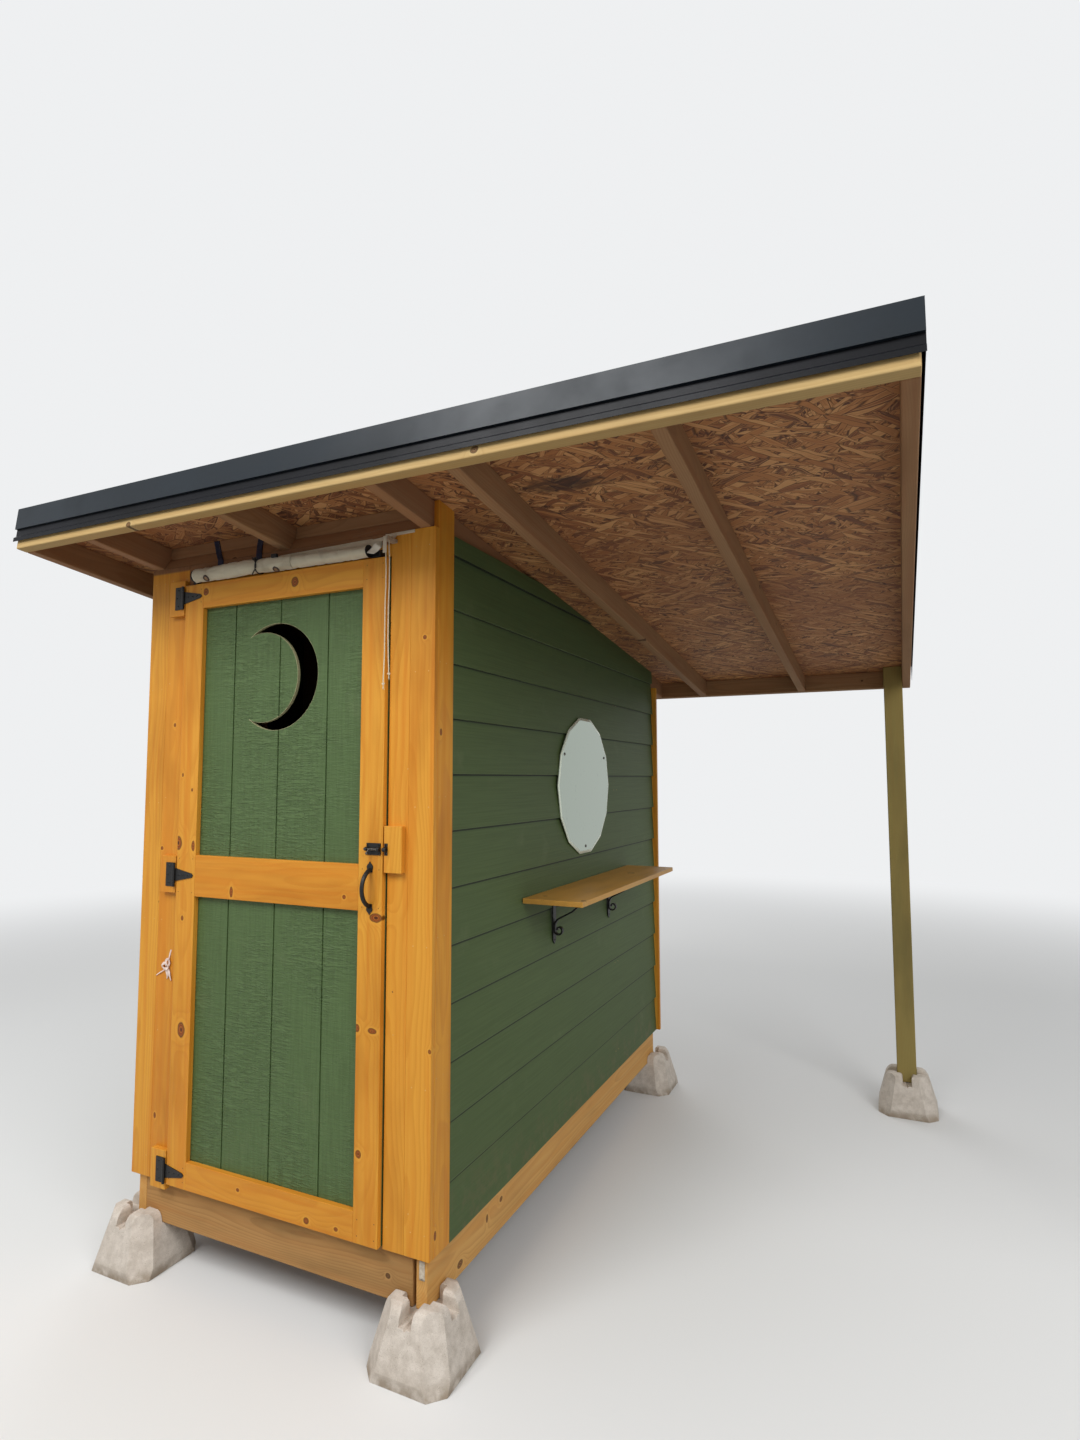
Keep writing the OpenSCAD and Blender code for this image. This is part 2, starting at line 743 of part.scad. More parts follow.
// tapered straps on the door, each with a middle knuckle round the pin
module hinge_straps() {
    color(black_iron) place() for (z = hinge_zs) translate([hinge_x, hinge_y, door_z + z]) difference() {
        union() {
            translate([0, knuckle_r, 0]) rotate([90, 0, 0]) linear_extrude(leaf_t) polygon([
                [0, -strap_root_h / 2], [strap_len - strap_tip_h / 2, -strap_tip_h / 2],
                [strap_len, 0], [strap_len - strap_tip_h / 2, strap_tip_h / 2], [0, strap_root_h / 2]
            ]);
            translate([0, 0, -strap_root_h / 2]) cylinder(r = knuckle_r, h = strap_root_h);
        }
        translate([0, 0, -strap_root_h]) cylinder(r = pin_r + pin_gap, h = 2 * strap_root_h);
    }
}

module latch_block() {
    color(stain) place() translate([jamb_x1, -board_t, door_z + bolt_z - latch_block_h / 2])
        cube([latch_block_w, board_t, latch_block_h]);
}

// a strap of metal over the bolt, open along X
module bolt_loop(l, gap) {
    outer_r = bolt_r + gap + guide_wall;
    foot = -board_t - bolt_y;
    difference() {
        union() {
            rotate([0, 90, 0]) cylinder(r = outer_r, h = l);
            translate([0, 0, -outer_r]) cube([l, foot, 2 * outer_r]);
        }
        translate([-over, 0, 0]) rotate([0, 90, 0]) cylinder(r = bolt_r + gap, h = l + 2 * over);
    }
}

module bolt_guide() {
    color(black_iron) place() {
        translate([bolt_plate_x, -board_t - leaf_t, door_z + bolt_z - bolt_plate_h / 2])
            cube([bolt_plate_l, leaf_t, bolt_plate_h]);
        for (x = [bolt_plate_x, bolt_plate_x + bolt_plate_l - guide_l])
            translate([x, bolt_y, door_z + bolt_z]) bolt_loop(guide_l, bolt_gap);
    }
}

// the bolt with its knob, drawn back from the keeper
module sliding_bolt() {
    color("#4a4845") place() translate([0, bolt_y, door_z + bolt_z]) {
        translate([bolt_tip_x - bolt_l, 0, 0]) rotate([0, 90, 0]) cylinder(r = bolt_r, h = bolt_l);
        translate([knob_x, 0, 0]) rotate([90 + knob_turn, 0, 0]) {
            cylinder(r = knob_stem_r, h = knob_out);
            translate([0, 0, knob_out]) sphere(r = knob_r);
        }
    }
}

module bolt_keeper() {
    x0 = jamb_x1 + 2;
    color(black_iron) place() {
        translate([x0, -board_t - leaf_t / 2, door_z + bolt_z - bolt_plate_h / 2])
            cube([keeper_l, leaf_t / 2, bolt_plate_h]);
        translate([x0, bolt_y, door_z + bolt_z]) bolt_loop(keeper_l, keeper_gap);
    }
}

// a bowed bar on two pointed feet
module door_pull() {
    half = pull_l / 2;
    bow_r = (half * half + pull_out * pull_out) / (2 * pull_out);
    bow_angle = 2 * asin(half / bow_r);
    side_room = 2 * pull_l;
    color(black_iron) place() translate([pull_x, -board_t, door_z + pull_z]) {
        intersection() {
            translate([0, bow_r - pull_out, 0]) rotate([0, 90, 0]) rotate([0, 0, -90 - bow_angle / 2])
                rotate_extrude(angle = bow_angle) translate([bow_r, 0]) circle(pull_r);
            translate([-side_room / 2, -side_room, -side_room / 2]) cube(side_room);
        }
        for (side = [0, 1]) mirror([0, 0, side]) translate([0, 0, half]) rotate([90, 0, 0])
            linear_extrude(pull_foot_t) pull_foot();
    }
}

// one leaf-shaped foot of the pull, with its point outwards
module pull_foot() {
    w = 1.7 * pull_r;
    half = [[0.8 * w, -0.8 * w], [0.85 * w, 0], [w, 0.8 * w], [0.75 * w, 1.3 * w], [0.3 * w, 1.7 * w]];
    polygon(concat(half, [[0, 2.2 * w]], [for (p = reversed(half)) [-p[0], p[1]]]));
}

mirror_x = house_w + seat_gap;
module wall_mirror() {
    sides = 14;
    color("#9fb0a4") place() translate([mirror_x, mirror_y, siding_z + mirror_z]) rotate([90, 0, 90])
        linear_extrude(mirror_t) polygon([for (i = [0 : sides - 1])
            [mirror_d / 2 * cos(i * 360 / sides), mirror_d / 2 * sin(i * 360 / sides)]]);
}

module wall_shelf() {
    color(stain_pale) place() translate([house_w, shelf_y, shelf_top_z - board_t])
        cube([shelf_d, shelf_l, board_t]);
}

// iron brackets, each a pointed wall leg, an arm under the shelf and a scrolled brace between them
module shelf_brackets() {
    z1 = shelf_top_z - board_t;
    point = iron_w / 2;
    color(black_iron) place() for (y = [shelf_y + bracket_inset, shelf_y + shelf_l - bracket_inset])
        translate([house_w, y, z1]) {
            rotate([90, 0, 90]) linear_extrude(iron_t) polygon([
                [-iron_w / 2, 0], [-iron_w / 2, point - bracket_h], [0, -bracket_h],
                [iron_w / 2, point - bracket_h], [iron_w / 2, 0]
            ]);
            translate([0, -iron_w / 2, -iron_t]) cube([bracket_l, iron_w, iron_t]);
            translate([0, brace_w / 2, 0]) rotate([90, 0, 0]) linear_extrude(brace_w)
                polygon(strip(brace_line(), brace_t));
        }
}

// n points along an arc after angle a0, up to a1
function arc(x, z, r, a0, a1, n) = [
    for (i = [1 : n]) let (a = a0 + i * (a1 - a0) / n) [x + r * cos(a), z + r * sin(a)]
];

// middle line of a brace from under the arm down to the curled end of its scroll
function brace_line() = let (
    x = iron_t / 2 + brace_t / 2,
    z = 0.27 * bracket_h - bracket_h,
    r = scroll_r
) concat(
    [
        [0.88 * bracket_l, -iron_t / 2], [0.65 * bracket_l, -0.15 * bracket_h],
        [0.42 * bracket_l, -0.34 * bracket_h]
    ],
    arc(x + 2.5 * r, z + 0.8 * r, 2.5 * r, 100, 180, 8),
    arc(x + r, z, r, 180, 360, 10),
    arc(x + 1.2 * r, z, 0.8 * r, 0, 90, 6),
    arc(x + 1.2 * r, z + 0.3 * r, 0.5 * r, 90, 210, 7)
);

// outline of a bar of a thickness that follows a line of points
function strip(points, t) = let (
    last = len(points) - 1,
    side = [for (i = [0 : last]) let (d = heading(points, i)) t / 2 * [-d[1], d[0]]]
) concat(
    [for (i = [0 : last]) points[i] + side[i]],
    [for (i = [last : -1 : 0]) points[i] - side[i]]
);

// the blind rolled up over the door
module rolled_blind() {
    color("#b9b4a6") place() translate([blind_x0, blind_y, blind_z]) rotate([0, 90, 0])
        cylinder(r = blind_d / 2, h = blind_l);
}

// middle line of a strap from the sheathing, down the blocking and over the head board, across the roll
function strap_line() = let (
    lie = seat_gap + strap_t / 2,
    face_y = blocking_y - lie,
    r = blind_d / 2 + lie
) concat(
    [
        [face_y + rafter_n * sin(roof_pitch), siding_top(blocking_y) - 2 * lie],
        [face_y + rafter_n / 2 * sin(roof_pitch), under_at(blocking_y) + rafter_n / 2],
        [-lie, seat_at(0) + lie]
    ],
    arc(blind_y, blind_z, r, 95, 115, 4)
);

// straps over the roll, and the guide of the pull cord
module blind_fixings() {
    color("#242a52") place() {
        for (x = strap_xs) along_x(x, x + strap_w, strip(strap_line(), strap_t));
        translate([guide_x - guide_w / 2, -guide_out, guide_foot_z]) cube([guide_w, guide_out, guide_h]);
        translate([guide_x, -guide_out, guide_foot_z]) cylinder(r = guide_w / 2, h = guide_h);
    }
}

// the two strands of the blind's cord, by their points from the foot of their guide
guide_w = 24;
guide_x = jamb_x1 + guide_w / 2 + 1;
guide_out = 40;
guide_h = 12;
guide_foot_z = siding_z + wall_h - 38;
long_cord_points = [
    [-5, -42, 0], [-5, -42, -10], [-5, -42, -24], [-4, -42, -42], [-3, -42, -64], [-2, -42, -88],
    [-2, -42, -114], [-2, -42, -142], [-3, -42, -172], [-4, -42, -204], [-4, -42, -236], [-4, -42, -268],
    [-4, -42, -300], [-4, -42, -330], [-4, -42, -358], [-5, -42, -384], [-6, -42, -408], [-7, -42, -430],
    [-7, -42, -450]
];
short_cord_points = [
    [5, -38, 0], [5, -38, -10], [5, -38, -24], [6, -37, -42], [6, -36, -64], [6, -36, -88],
    [6, -36, -114], [6, -36, -142], [5, -36, -172], [4, -36, -204], [4, -36, -236], [4, -36, -268],
    [4, -36, -300], [5, -36, -328], [6, -36, -354], [7, -36, -378], [8, -36, -400], [9, -36, -420]
];

// unit direction of the route at point i
function heading(points, i) = let (
    a = points[max(0, i - 1)],
    b = points[min(len(points) - 1, i + 1)]
) (b - a) / norm(b - a);

// a ring of eight points round point i of a route that mostly hangs
function ring(points, i) = let (
    d = heading(points, i),
    u = cross(d, [0, 1, 0]) / norm(cross(d, [0, 1, 0])),
    v = cross(d, u)
) [for (k = [0 : 7]) points[i] + cord_d / 2 * (cos(45 * k) * u + sin(45 * k) * v)];

// a round cord swept along its route
module cord(points) {
    n = len(points);
    polyhedron(
        points = [for (i = [0 : n - 1]) each ring(points, i)],
        faces = concat(
            [[for (k = [0 : 7]) k]],
            [for (i = [0 : n - 2], k = [0 : 7])
                [8 * i + k, 8 * (i + 1) + k, 8 * (i + 1) + (k + 1) % 8, 8 * i + (k + 1) % 8]],
            [[for (k = [7 : -1 : 0]) 8 * (n - 1) + k]]
        )
    );
}

module long_pull_cord() {
    color("#d9d2bd") place() translate([guide_x, 0, guide_foot_z]) cord(long_cord_points);
}

module short_pull_cord() {
    color("#d9d2bd") place() translate([guide_x, 0, guide_foot_z]) cord(short_cord_points);
}

house_deck_blocks();
post_deck_block();
end_rims();
side_rims();
floor_joists();
floor_sheets();
bottom_plates();
wall_studs();
top_plates();
left_siding();
right_siding();
back_siding();
front_corner_boards();
side_corner_boards();
back_corner_boards();
door_casing();
rafters();
barge_rafters();
wall_blocking();
front_fascia();
rear_fascia();
roof_sheathing();
roof_panels();
front_roof_trim();
drip_edge();
rake_trims();
roof_post();
door_panel();
door_stiles();
door_rails();
hinge_blocks();
hinge_plates();
hinge_straps();
latch_block();
bolt_keeper();
bolt_guide();
sliding_bolt();
door_pull();
wall_mirror();
wall_shelf();
shelf_brackets();
rolled_blind();
blind_fixings();
long_pull_cord();
short_pull_cord();
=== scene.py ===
import json
import math
import bmesh
import bpy
from mathutils import Matrix, Vector, noise
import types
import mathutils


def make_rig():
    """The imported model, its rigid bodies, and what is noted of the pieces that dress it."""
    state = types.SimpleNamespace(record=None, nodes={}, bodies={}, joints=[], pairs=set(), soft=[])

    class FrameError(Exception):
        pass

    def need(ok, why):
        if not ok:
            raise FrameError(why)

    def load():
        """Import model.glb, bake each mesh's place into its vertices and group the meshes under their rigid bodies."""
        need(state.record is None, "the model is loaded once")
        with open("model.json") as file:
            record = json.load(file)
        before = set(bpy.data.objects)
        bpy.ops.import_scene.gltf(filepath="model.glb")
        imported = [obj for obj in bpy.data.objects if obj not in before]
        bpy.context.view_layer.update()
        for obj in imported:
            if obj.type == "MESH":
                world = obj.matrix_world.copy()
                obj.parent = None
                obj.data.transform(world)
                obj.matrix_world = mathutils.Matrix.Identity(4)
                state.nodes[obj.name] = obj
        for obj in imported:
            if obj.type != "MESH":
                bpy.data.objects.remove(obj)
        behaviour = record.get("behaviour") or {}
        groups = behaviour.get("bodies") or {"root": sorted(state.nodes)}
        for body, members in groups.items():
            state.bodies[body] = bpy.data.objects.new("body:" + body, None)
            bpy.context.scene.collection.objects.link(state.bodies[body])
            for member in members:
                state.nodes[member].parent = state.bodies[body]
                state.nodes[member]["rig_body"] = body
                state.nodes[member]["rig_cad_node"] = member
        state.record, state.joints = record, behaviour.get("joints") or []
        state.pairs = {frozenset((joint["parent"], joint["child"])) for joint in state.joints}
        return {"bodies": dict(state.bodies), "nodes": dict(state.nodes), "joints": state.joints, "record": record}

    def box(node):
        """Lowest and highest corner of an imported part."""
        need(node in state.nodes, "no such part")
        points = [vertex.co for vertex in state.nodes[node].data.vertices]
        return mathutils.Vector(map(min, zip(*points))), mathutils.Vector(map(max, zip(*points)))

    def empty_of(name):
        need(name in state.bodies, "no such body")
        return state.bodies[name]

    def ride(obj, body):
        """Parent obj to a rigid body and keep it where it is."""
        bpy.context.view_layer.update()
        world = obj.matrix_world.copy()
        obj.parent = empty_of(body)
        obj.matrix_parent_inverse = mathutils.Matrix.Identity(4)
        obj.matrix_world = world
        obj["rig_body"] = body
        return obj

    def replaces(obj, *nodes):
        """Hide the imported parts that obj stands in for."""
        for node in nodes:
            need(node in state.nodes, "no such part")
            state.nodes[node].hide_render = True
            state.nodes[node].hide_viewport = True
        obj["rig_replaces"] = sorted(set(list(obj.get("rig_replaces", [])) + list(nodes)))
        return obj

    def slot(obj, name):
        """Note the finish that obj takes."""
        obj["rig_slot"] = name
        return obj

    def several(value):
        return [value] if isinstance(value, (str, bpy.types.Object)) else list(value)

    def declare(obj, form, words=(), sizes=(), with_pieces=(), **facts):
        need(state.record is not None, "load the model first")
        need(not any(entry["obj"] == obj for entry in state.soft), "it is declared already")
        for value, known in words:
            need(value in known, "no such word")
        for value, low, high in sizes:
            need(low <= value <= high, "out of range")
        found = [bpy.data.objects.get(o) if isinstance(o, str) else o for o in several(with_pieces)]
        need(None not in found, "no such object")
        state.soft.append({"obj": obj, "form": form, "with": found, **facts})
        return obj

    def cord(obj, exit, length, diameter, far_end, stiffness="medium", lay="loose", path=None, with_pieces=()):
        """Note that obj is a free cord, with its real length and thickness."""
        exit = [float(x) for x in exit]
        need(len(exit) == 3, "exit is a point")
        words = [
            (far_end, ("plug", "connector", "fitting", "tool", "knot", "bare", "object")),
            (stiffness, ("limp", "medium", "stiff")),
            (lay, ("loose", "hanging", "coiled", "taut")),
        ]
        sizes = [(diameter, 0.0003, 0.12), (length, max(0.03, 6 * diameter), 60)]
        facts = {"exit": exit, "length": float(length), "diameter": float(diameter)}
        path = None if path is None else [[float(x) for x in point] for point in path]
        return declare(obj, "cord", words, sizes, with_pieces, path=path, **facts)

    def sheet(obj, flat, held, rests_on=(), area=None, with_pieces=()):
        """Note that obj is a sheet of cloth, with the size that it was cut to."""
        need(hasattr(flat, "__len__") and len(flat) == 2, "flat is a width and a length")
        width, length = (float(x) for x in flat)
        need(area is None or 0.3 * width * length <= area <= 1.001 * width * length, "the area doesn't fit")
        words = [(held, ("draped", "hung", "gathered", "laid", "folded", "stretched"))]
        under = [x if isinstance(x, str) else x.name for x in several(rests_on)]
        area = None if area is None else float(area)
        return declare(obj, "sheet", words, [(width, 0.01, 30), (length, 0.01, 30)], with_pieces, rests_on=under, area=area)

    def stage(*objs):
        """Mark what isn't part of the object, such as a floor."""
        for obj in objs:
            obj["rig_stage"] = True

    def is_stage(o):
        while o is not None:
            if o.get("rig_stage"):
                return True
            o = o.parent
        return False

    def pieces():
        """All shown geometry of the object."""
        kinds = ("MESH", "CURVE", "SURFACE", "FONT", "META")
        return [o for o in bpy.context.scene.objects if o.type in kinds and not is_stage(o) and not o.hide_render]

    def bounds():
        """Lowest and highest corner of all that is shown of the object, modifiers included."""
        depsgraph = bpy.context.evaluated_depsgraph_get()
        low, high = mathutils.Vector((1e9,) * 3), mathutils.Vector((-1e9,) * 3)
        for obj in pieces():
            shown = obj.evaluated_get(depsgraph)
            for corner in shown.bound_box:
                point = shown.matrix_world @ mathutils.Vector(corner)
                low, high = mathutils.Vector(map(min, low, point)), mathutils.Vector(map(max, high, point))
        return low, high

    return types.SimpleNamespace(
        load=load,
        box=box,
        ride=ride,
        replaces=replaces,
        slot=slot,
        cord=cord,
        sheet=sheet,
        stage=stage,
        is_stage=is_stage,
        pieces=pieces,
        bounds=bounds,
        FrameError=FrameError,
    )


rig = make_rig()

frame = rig.load()
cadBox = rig.bounds()
nodes = frame["nodes"]
bodyOf = {name: body for body, names in frame["record"]["behaviour"]["bodies"].items() for name in names}
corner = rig.box("front_corner_boards")[0]  # left front corner of the house, at the foot of the siding
roofTilt = math.radians(6.5)
front, outward, upright, down = (0, -1, 0), (1, 0, 0), (0, 0, 1), (0, 0, -1)


def at(x, y, z):  # millimetres from the house's corner to metres in the frame
    return corner + Vector((x, y, z)) / 1000


def srgb(red, green, blue):  # a colour as seen on screen, made linear
    values = [value / 255 for value in (red, green, blue)]
    return tuple(v / 12.92 if v < 0.04045 else ((v + 0.055) / 1.055) ** 2.4 for v in values) + (1.0,)


# camera

cameraLook = {"place": at(2494.38, -1959.78, 1374.79), "turn": 0.4344, "lift": 0.0757, "roll": -0.0013, "lens": 19.32}
cameraData = bpy.data.cameras.new("camera")
cameraData.sensor_fit = "VERTICAL"
cameraData.sensor_height = 36
cameraData.lens = cameraLook["lens"]
camera = bpy.data.objects.new("camera", cameraData)
camera.matrix_world = (
    Matrix.Translation(cameraLook["place"])
    @ Matrix.Rotation(cameraLook["turn"], 4, "Z")
    @ Matrix.Rotation(math.pi / 2 + cameraLook["lift"], 4, "X")
    @ Matrix.Rotation(cameraLook["roll"], 4, "Z")
)
bpy.context.scene.collection.objects.link(camera)
bpy.context.scene.camera = camera


# nodes: what a node gives out is wrapped, so that it can be reckoned with like a number

class Signal:
    def __init__(self, socket):
        self.socket = socket
        self.tree = socket.id_data

    def __add__(self, other):
        return calc("ADD", self, other)

    def __sub__(self, other):
        return calc("SUBTRACT", self, other)

    def __rsub__(self, other):
        return calc("SUBTRACT", other, self)

    def __mul__(self, other):
        return calc("MULTIPLY", self, other)

    def __truediv__(self, other):
        return calc("DIVIDE", self, other)

    def __pow__(self, other):
        return calc("POWER", self, other)


def treeOf(*values):
    return next(value.tree for value in values if isinstance(value, Signal))


def feed(socket, value):
    if isinstance(value, Signal):
        socket.id_data.links.new(value.socket, socket)
    else:
        socket.default_value = value


def node(tree, kind, values=None, **settings):
    made = tree.nodes.new(kind)
    for name, value in settings.items():
        setattr(made, name, value)
    for name, value in (values or {}).items():
        feed(made.inputs[name], value)
    return made


def add(tree, kind, values=None, output=0, **settings):
    return Signal(node(tree, kind, values, **settings).outputs[output])


def isVector(value):
    return value.socket.type == "VECTOR" if isinstance(value, Signal) else isinstance(value, (tuple, Vector))


def calc(operation, *values, clamp=False):  # arithmetic with numbers, or with vectors where one is given
    tree, inputs, kinds = treeOf(*values), dict(enumerate(values)), [isVector(value) for value in values]
    if not any(kinds):
        return add(tree, "ShaderNodeMath", inputs, operation=operation, use_clamp=clamp)
    if operation == "MULTIPLY" and not all(kinds):
        operation, inputs = "SCALE", {0: values[0], "Scale": values[1]}
    output = "Value" if operation == "LENGTH" else "Vector"
    return add(tree, "ShaderNodeVectorMath", inputs, output, operation=operation)


def combined(x=0.0, y=0.0, z=0.0):
    return add(treeOf(x, y, z), "ShaderNodeCombineXYZ", {"X": x, "Y": y, "Z": z})


def split(source):
    return [Signal(socket) for socket in node(source.tree, "ShaderNodeSeparateXYZ", {0: source}).outputs]


def named(made):  # a node's outputs by name
    return {socket.name: Signal(socket) for socket in made.outputs if socket.name}


def stretched(source, scale, turn=0.0, shift=(0, 0, 0)):
    values = {"Vector": source, "Scale": scale, "Rotation": (0, 0, turn), "Location": shift}
    return add(source.tree, "ShaderNodeMapping", values)


def clouds(source, scale=1.0, detail=2.0, roughness=0.5, output="Fac", distortion=0.0, **settings):
    if isinstance(scale, tuple):
        source, scale = stretched(source, scale), 1.0
    values = {"Vector": source, "Scale": scale, "Detail": detail, "Roughness": roughness, "Distortion": distortion}
    return add(source.tree, "ShaderNodeTexNoise", values, output, **settings)


def drifting(source, scale, depth):  # a shift that wanders every way
    return (clouds(source, scale, output="Color") - (0.5, 0.5, 0.5)) * depth


def cells(source, scale=1.0, randomness=1.0, **settings):
    values = {"Vector": source, "Scale": scale, "Randomness": randomness}
    return named(node(source.tree, "ShaderNodeTexVoronoi", values, **settings))


def fade(value, low, high, lowTo=0.0, highTo=1.0):
    values = {0: value, 1: low, 2: high, 3: lowTo, 4: highTo}
    return add(value.tree, "ShaderNodeMapRange", values, interpolation_type="SMOOTHSTEP", clamp=True)


def mixed(share, first, second):  # two colours
    return add(share.tree, "ShaderNodeMix", {0: share, 6: first, 7: second}, 2, data_type="RGBA", blend_type="MIX")


def blend(share, first, second):  # two numbers
    return add(share.tree, "ShaderNodeMix", {0: share, 2: first, 3: second})


def shades(value, stops):
    made = node(value.tree, "ShaderNodeValToRGB", {"Fac": value})
    ramp = made.color_ramp
    for element, (position, color) in zip(ramp.elements, (stops[0], stops[-1])):
        element.position, element.color = position, color
    for position, color in stops[1:-1]:
        ramp.elements.new(position).color = color
    return Signal(made.outputs["Color"])


def relief(height, distance, strength=1.0, under=None):
    values = {"Height": height, "Distance": distance, "Strength": strength}
    if under is not None:
        values["Normal"] = under
    return add(height.tree, "ShaderNodeBump", values)


def objectPlace(tree):
    return add(tree, "ShaderNodeTexCoord", output="Object")


def attribute(tree, name, output="Vector"):
    return add(tree, "ShaderNodeAttribute", output=output, attribute_name=name)


surfaceSockets = {
    "color": "Base Color", "roughness": "Roughness", "metallic": "Metallic", "normal": "Normal",
    "gloss": "Specular IOR Level", "coat": "Coat Weight", "coatRoughness": "Coat Roughness", "sheen": "Sheen Weight",
}


def dress(material, **sockets):  # feeds the surface, by the short names below
    surface = material.node_tree.nodes["Principled BSDF"]
    for name, value in sockets.items():
        feed(surface.inputs[surfaceSockets[name]], value)


def newMaterial(name, roughness=0.6, metallic=0.0, **sockets):
    material = bpy.data.materials.new(name)
    material.use_nodes = True
    dress(material, roughness=roughness, metallic=metallic, **sockets)
    return material, material.node_tree


def mottled(name, first, second, scale, detail, spread=None, shine=None, bump=0.0, **sockets):
    # two colours in small clouds; spread: where the second sets in, shine: the roughness in each
    material, tree = newMaterial(name, **sockets)
    spots = clouds(objectPlace(tree), scale, detail)
    dress(material, color=mixed(fade(spots, *spread) if spread else spots, first, second))
    if shine:
        dress(material, roughness=fade(spots, 0.3, 0.7, *shine))
    if bump:
        dress(material, normal=relief(spots, bump, 0.5))
    return material


# wood: growth rings round a wandering heart, with knots that push them aside

woodColors = {  # pale and dark part of a ring, knot, knot's rim, warm streaks and soil
    "stainedPine": ((220, 158, 56), (196, 126, 30), (124, 48, 8), (60, 22, 4), (204, 122, 28), (166, 98, 14)),
    "framing": ((164, 127, 90), (132, 98, 66), (80, 50, 30), (44, 28, 18), (148, 103, 70), (108, 76, 46)),
    "paleFascia": ((196, 170, 118), (166, 134, 82), (96, 60, 34), (52, 32, 18), (184, 148, 92), (140, 104, 64)),
    "treatedRim": ((184, 140, 86), (146, 104, 56), (84, 54, 32), (48, 30, 18), (172, 120, 68), (108, 86, 52)),
    "stainedRim": ((216, 168, 98), (184, 130, 66), (108, 62, 30), (56, 32, 16), (204, 144, 72), (138, 98, 54)),
    "treatedPost": ((156, 142, 84), (124, 110, 58), (74, 58, 34), (44, 34, 20), (148, 126, 72), (94, 88, 54)),
    "shelfBoard": ((206, 160, 78), (176, 126, 50), (88, 54, 26), (44, 26, 14), (194, 140, 60), (130, 94, 42)),
}
woodLooks = {
    # the rings' distance and depth, fibre, streaks, wander, knot size and share, soil, roughness, coat
    "stainedPine": (0.0085, 0.5, 0.24, 0.6, 0.036, 0.006, 0.08, 0.55, 0.44, 0.045),
    "framing": (0.0062, 0.5, 0.4, 0.6, 0.03, 0.014, 0.35, 0.4, 0.78, 0.03),
    "paleFascia": (0.0068, 0.5, 0.35, 0.5, 0.03, 0.009, 0.35, 0.45, 0.74, 0.03),
    "treatedRim": (0.0065, 0.55, 0.4, 0.6, 0.028, 0.014, 0.3, 0.55, 0.76, 0.03),
    "stainedRim": (0.007, 0.55, 0.35, 0.55, 0.03, 0.012, 0.2, 0.45, 0.6, 0.06),
    "treatedPost": (0.0062, 0.55, 0.4, 0.6, 0.03, 0.015, 0.4, 0.45, 0.76, 0.03),
    "shelfBoard": (0.007, 0.5, 0.35, 0.5, 0.03, 0.01, 0.2, 0.4, 0.42, 0.09),
}
setKnots = {  # knots that have a place of their own: x, y, z in mm, then their reach along x, y and z
    "stainedPine": [
        (211, -19, 1389, 4, 30, 6), (258, -19, 1337, 4, 30, 5), (200, -19, 1152, 16, 30, 22),
        (271, -19, 1144, 7, 30, 16), (243, -19, 521, 15, 30, 23), (230, -19, 896, 6, 30, 8),
        (1048, -19, 956, 23, 30, 12), (984, -19, 625, 8, 30, 11), (1039, -19, 623, 14, 30, 8),
        (995, -19, 261, 9, 30, 11), (701, -19, 2025, 14, 30, 15), (295, -19, 2033, 12, 30, 12),
        (455, -19, 998, 7, 30, 17), (926, -19, 1011, 6, 30, 6), (520, -19, 57, 6, 30, 5),
        (803, -19, 27, 10, 30, 9), (96, 0, 1129, 6, 30, 6), (106, 0, 210, 5, 30, 9),
        (140, 0, 1568, 5, 30, 6), (1200, 0, 1804, 6, 30, 6), (1230, 0, 584, 5, 30, 6),
        (1236, 38, 1516, 30, 6, 10), (1236, 29, 61, 30, 6, 12),
    ],
    "stainedRim": [(1217, 473, -51, 40, 9, 8), (1217, 375, -67, 40, 6, 12), (1217, 203, -115, 40, 14, 10)],
    "treatedRim": [(1081, 19, -83, 8, 40, 7)],
    "shelfBoard": [(1350, 1479, 941, 7, 9, 30), (1462, 634, 941, 8, 10, 30), (1288, 683, 941, 9, 8, 30)],
}
bareLook = {
    "middle": (631.5, 0, 2112), "left": -0.6315, "right": 0.4415, "pale": srgb(122, 86, 60), "dark": srgb(96, 66, 46),
}


def bareEdge(place):  # where the casing's upper edge, over and beside the blind, never got its stain
    along, _, above = split(place - at(*bareLook["middle"]))
    middle, reach = (bareLook["left"] + bareLook["right"]) / 2, (bareLook["right"] - bareLook["left"]) / 2
    inside = calc("LESS_THAN", calc("ABSOLUTE", along - middle), reach)
    shift = fade(along, -0.442, -0.441, -0.019, 0.045) + fade(along, -0.39, -0.365, 0, -0.045)
    return inside * fade(above + shift, -0.008, 0.002, 0, 0.92)


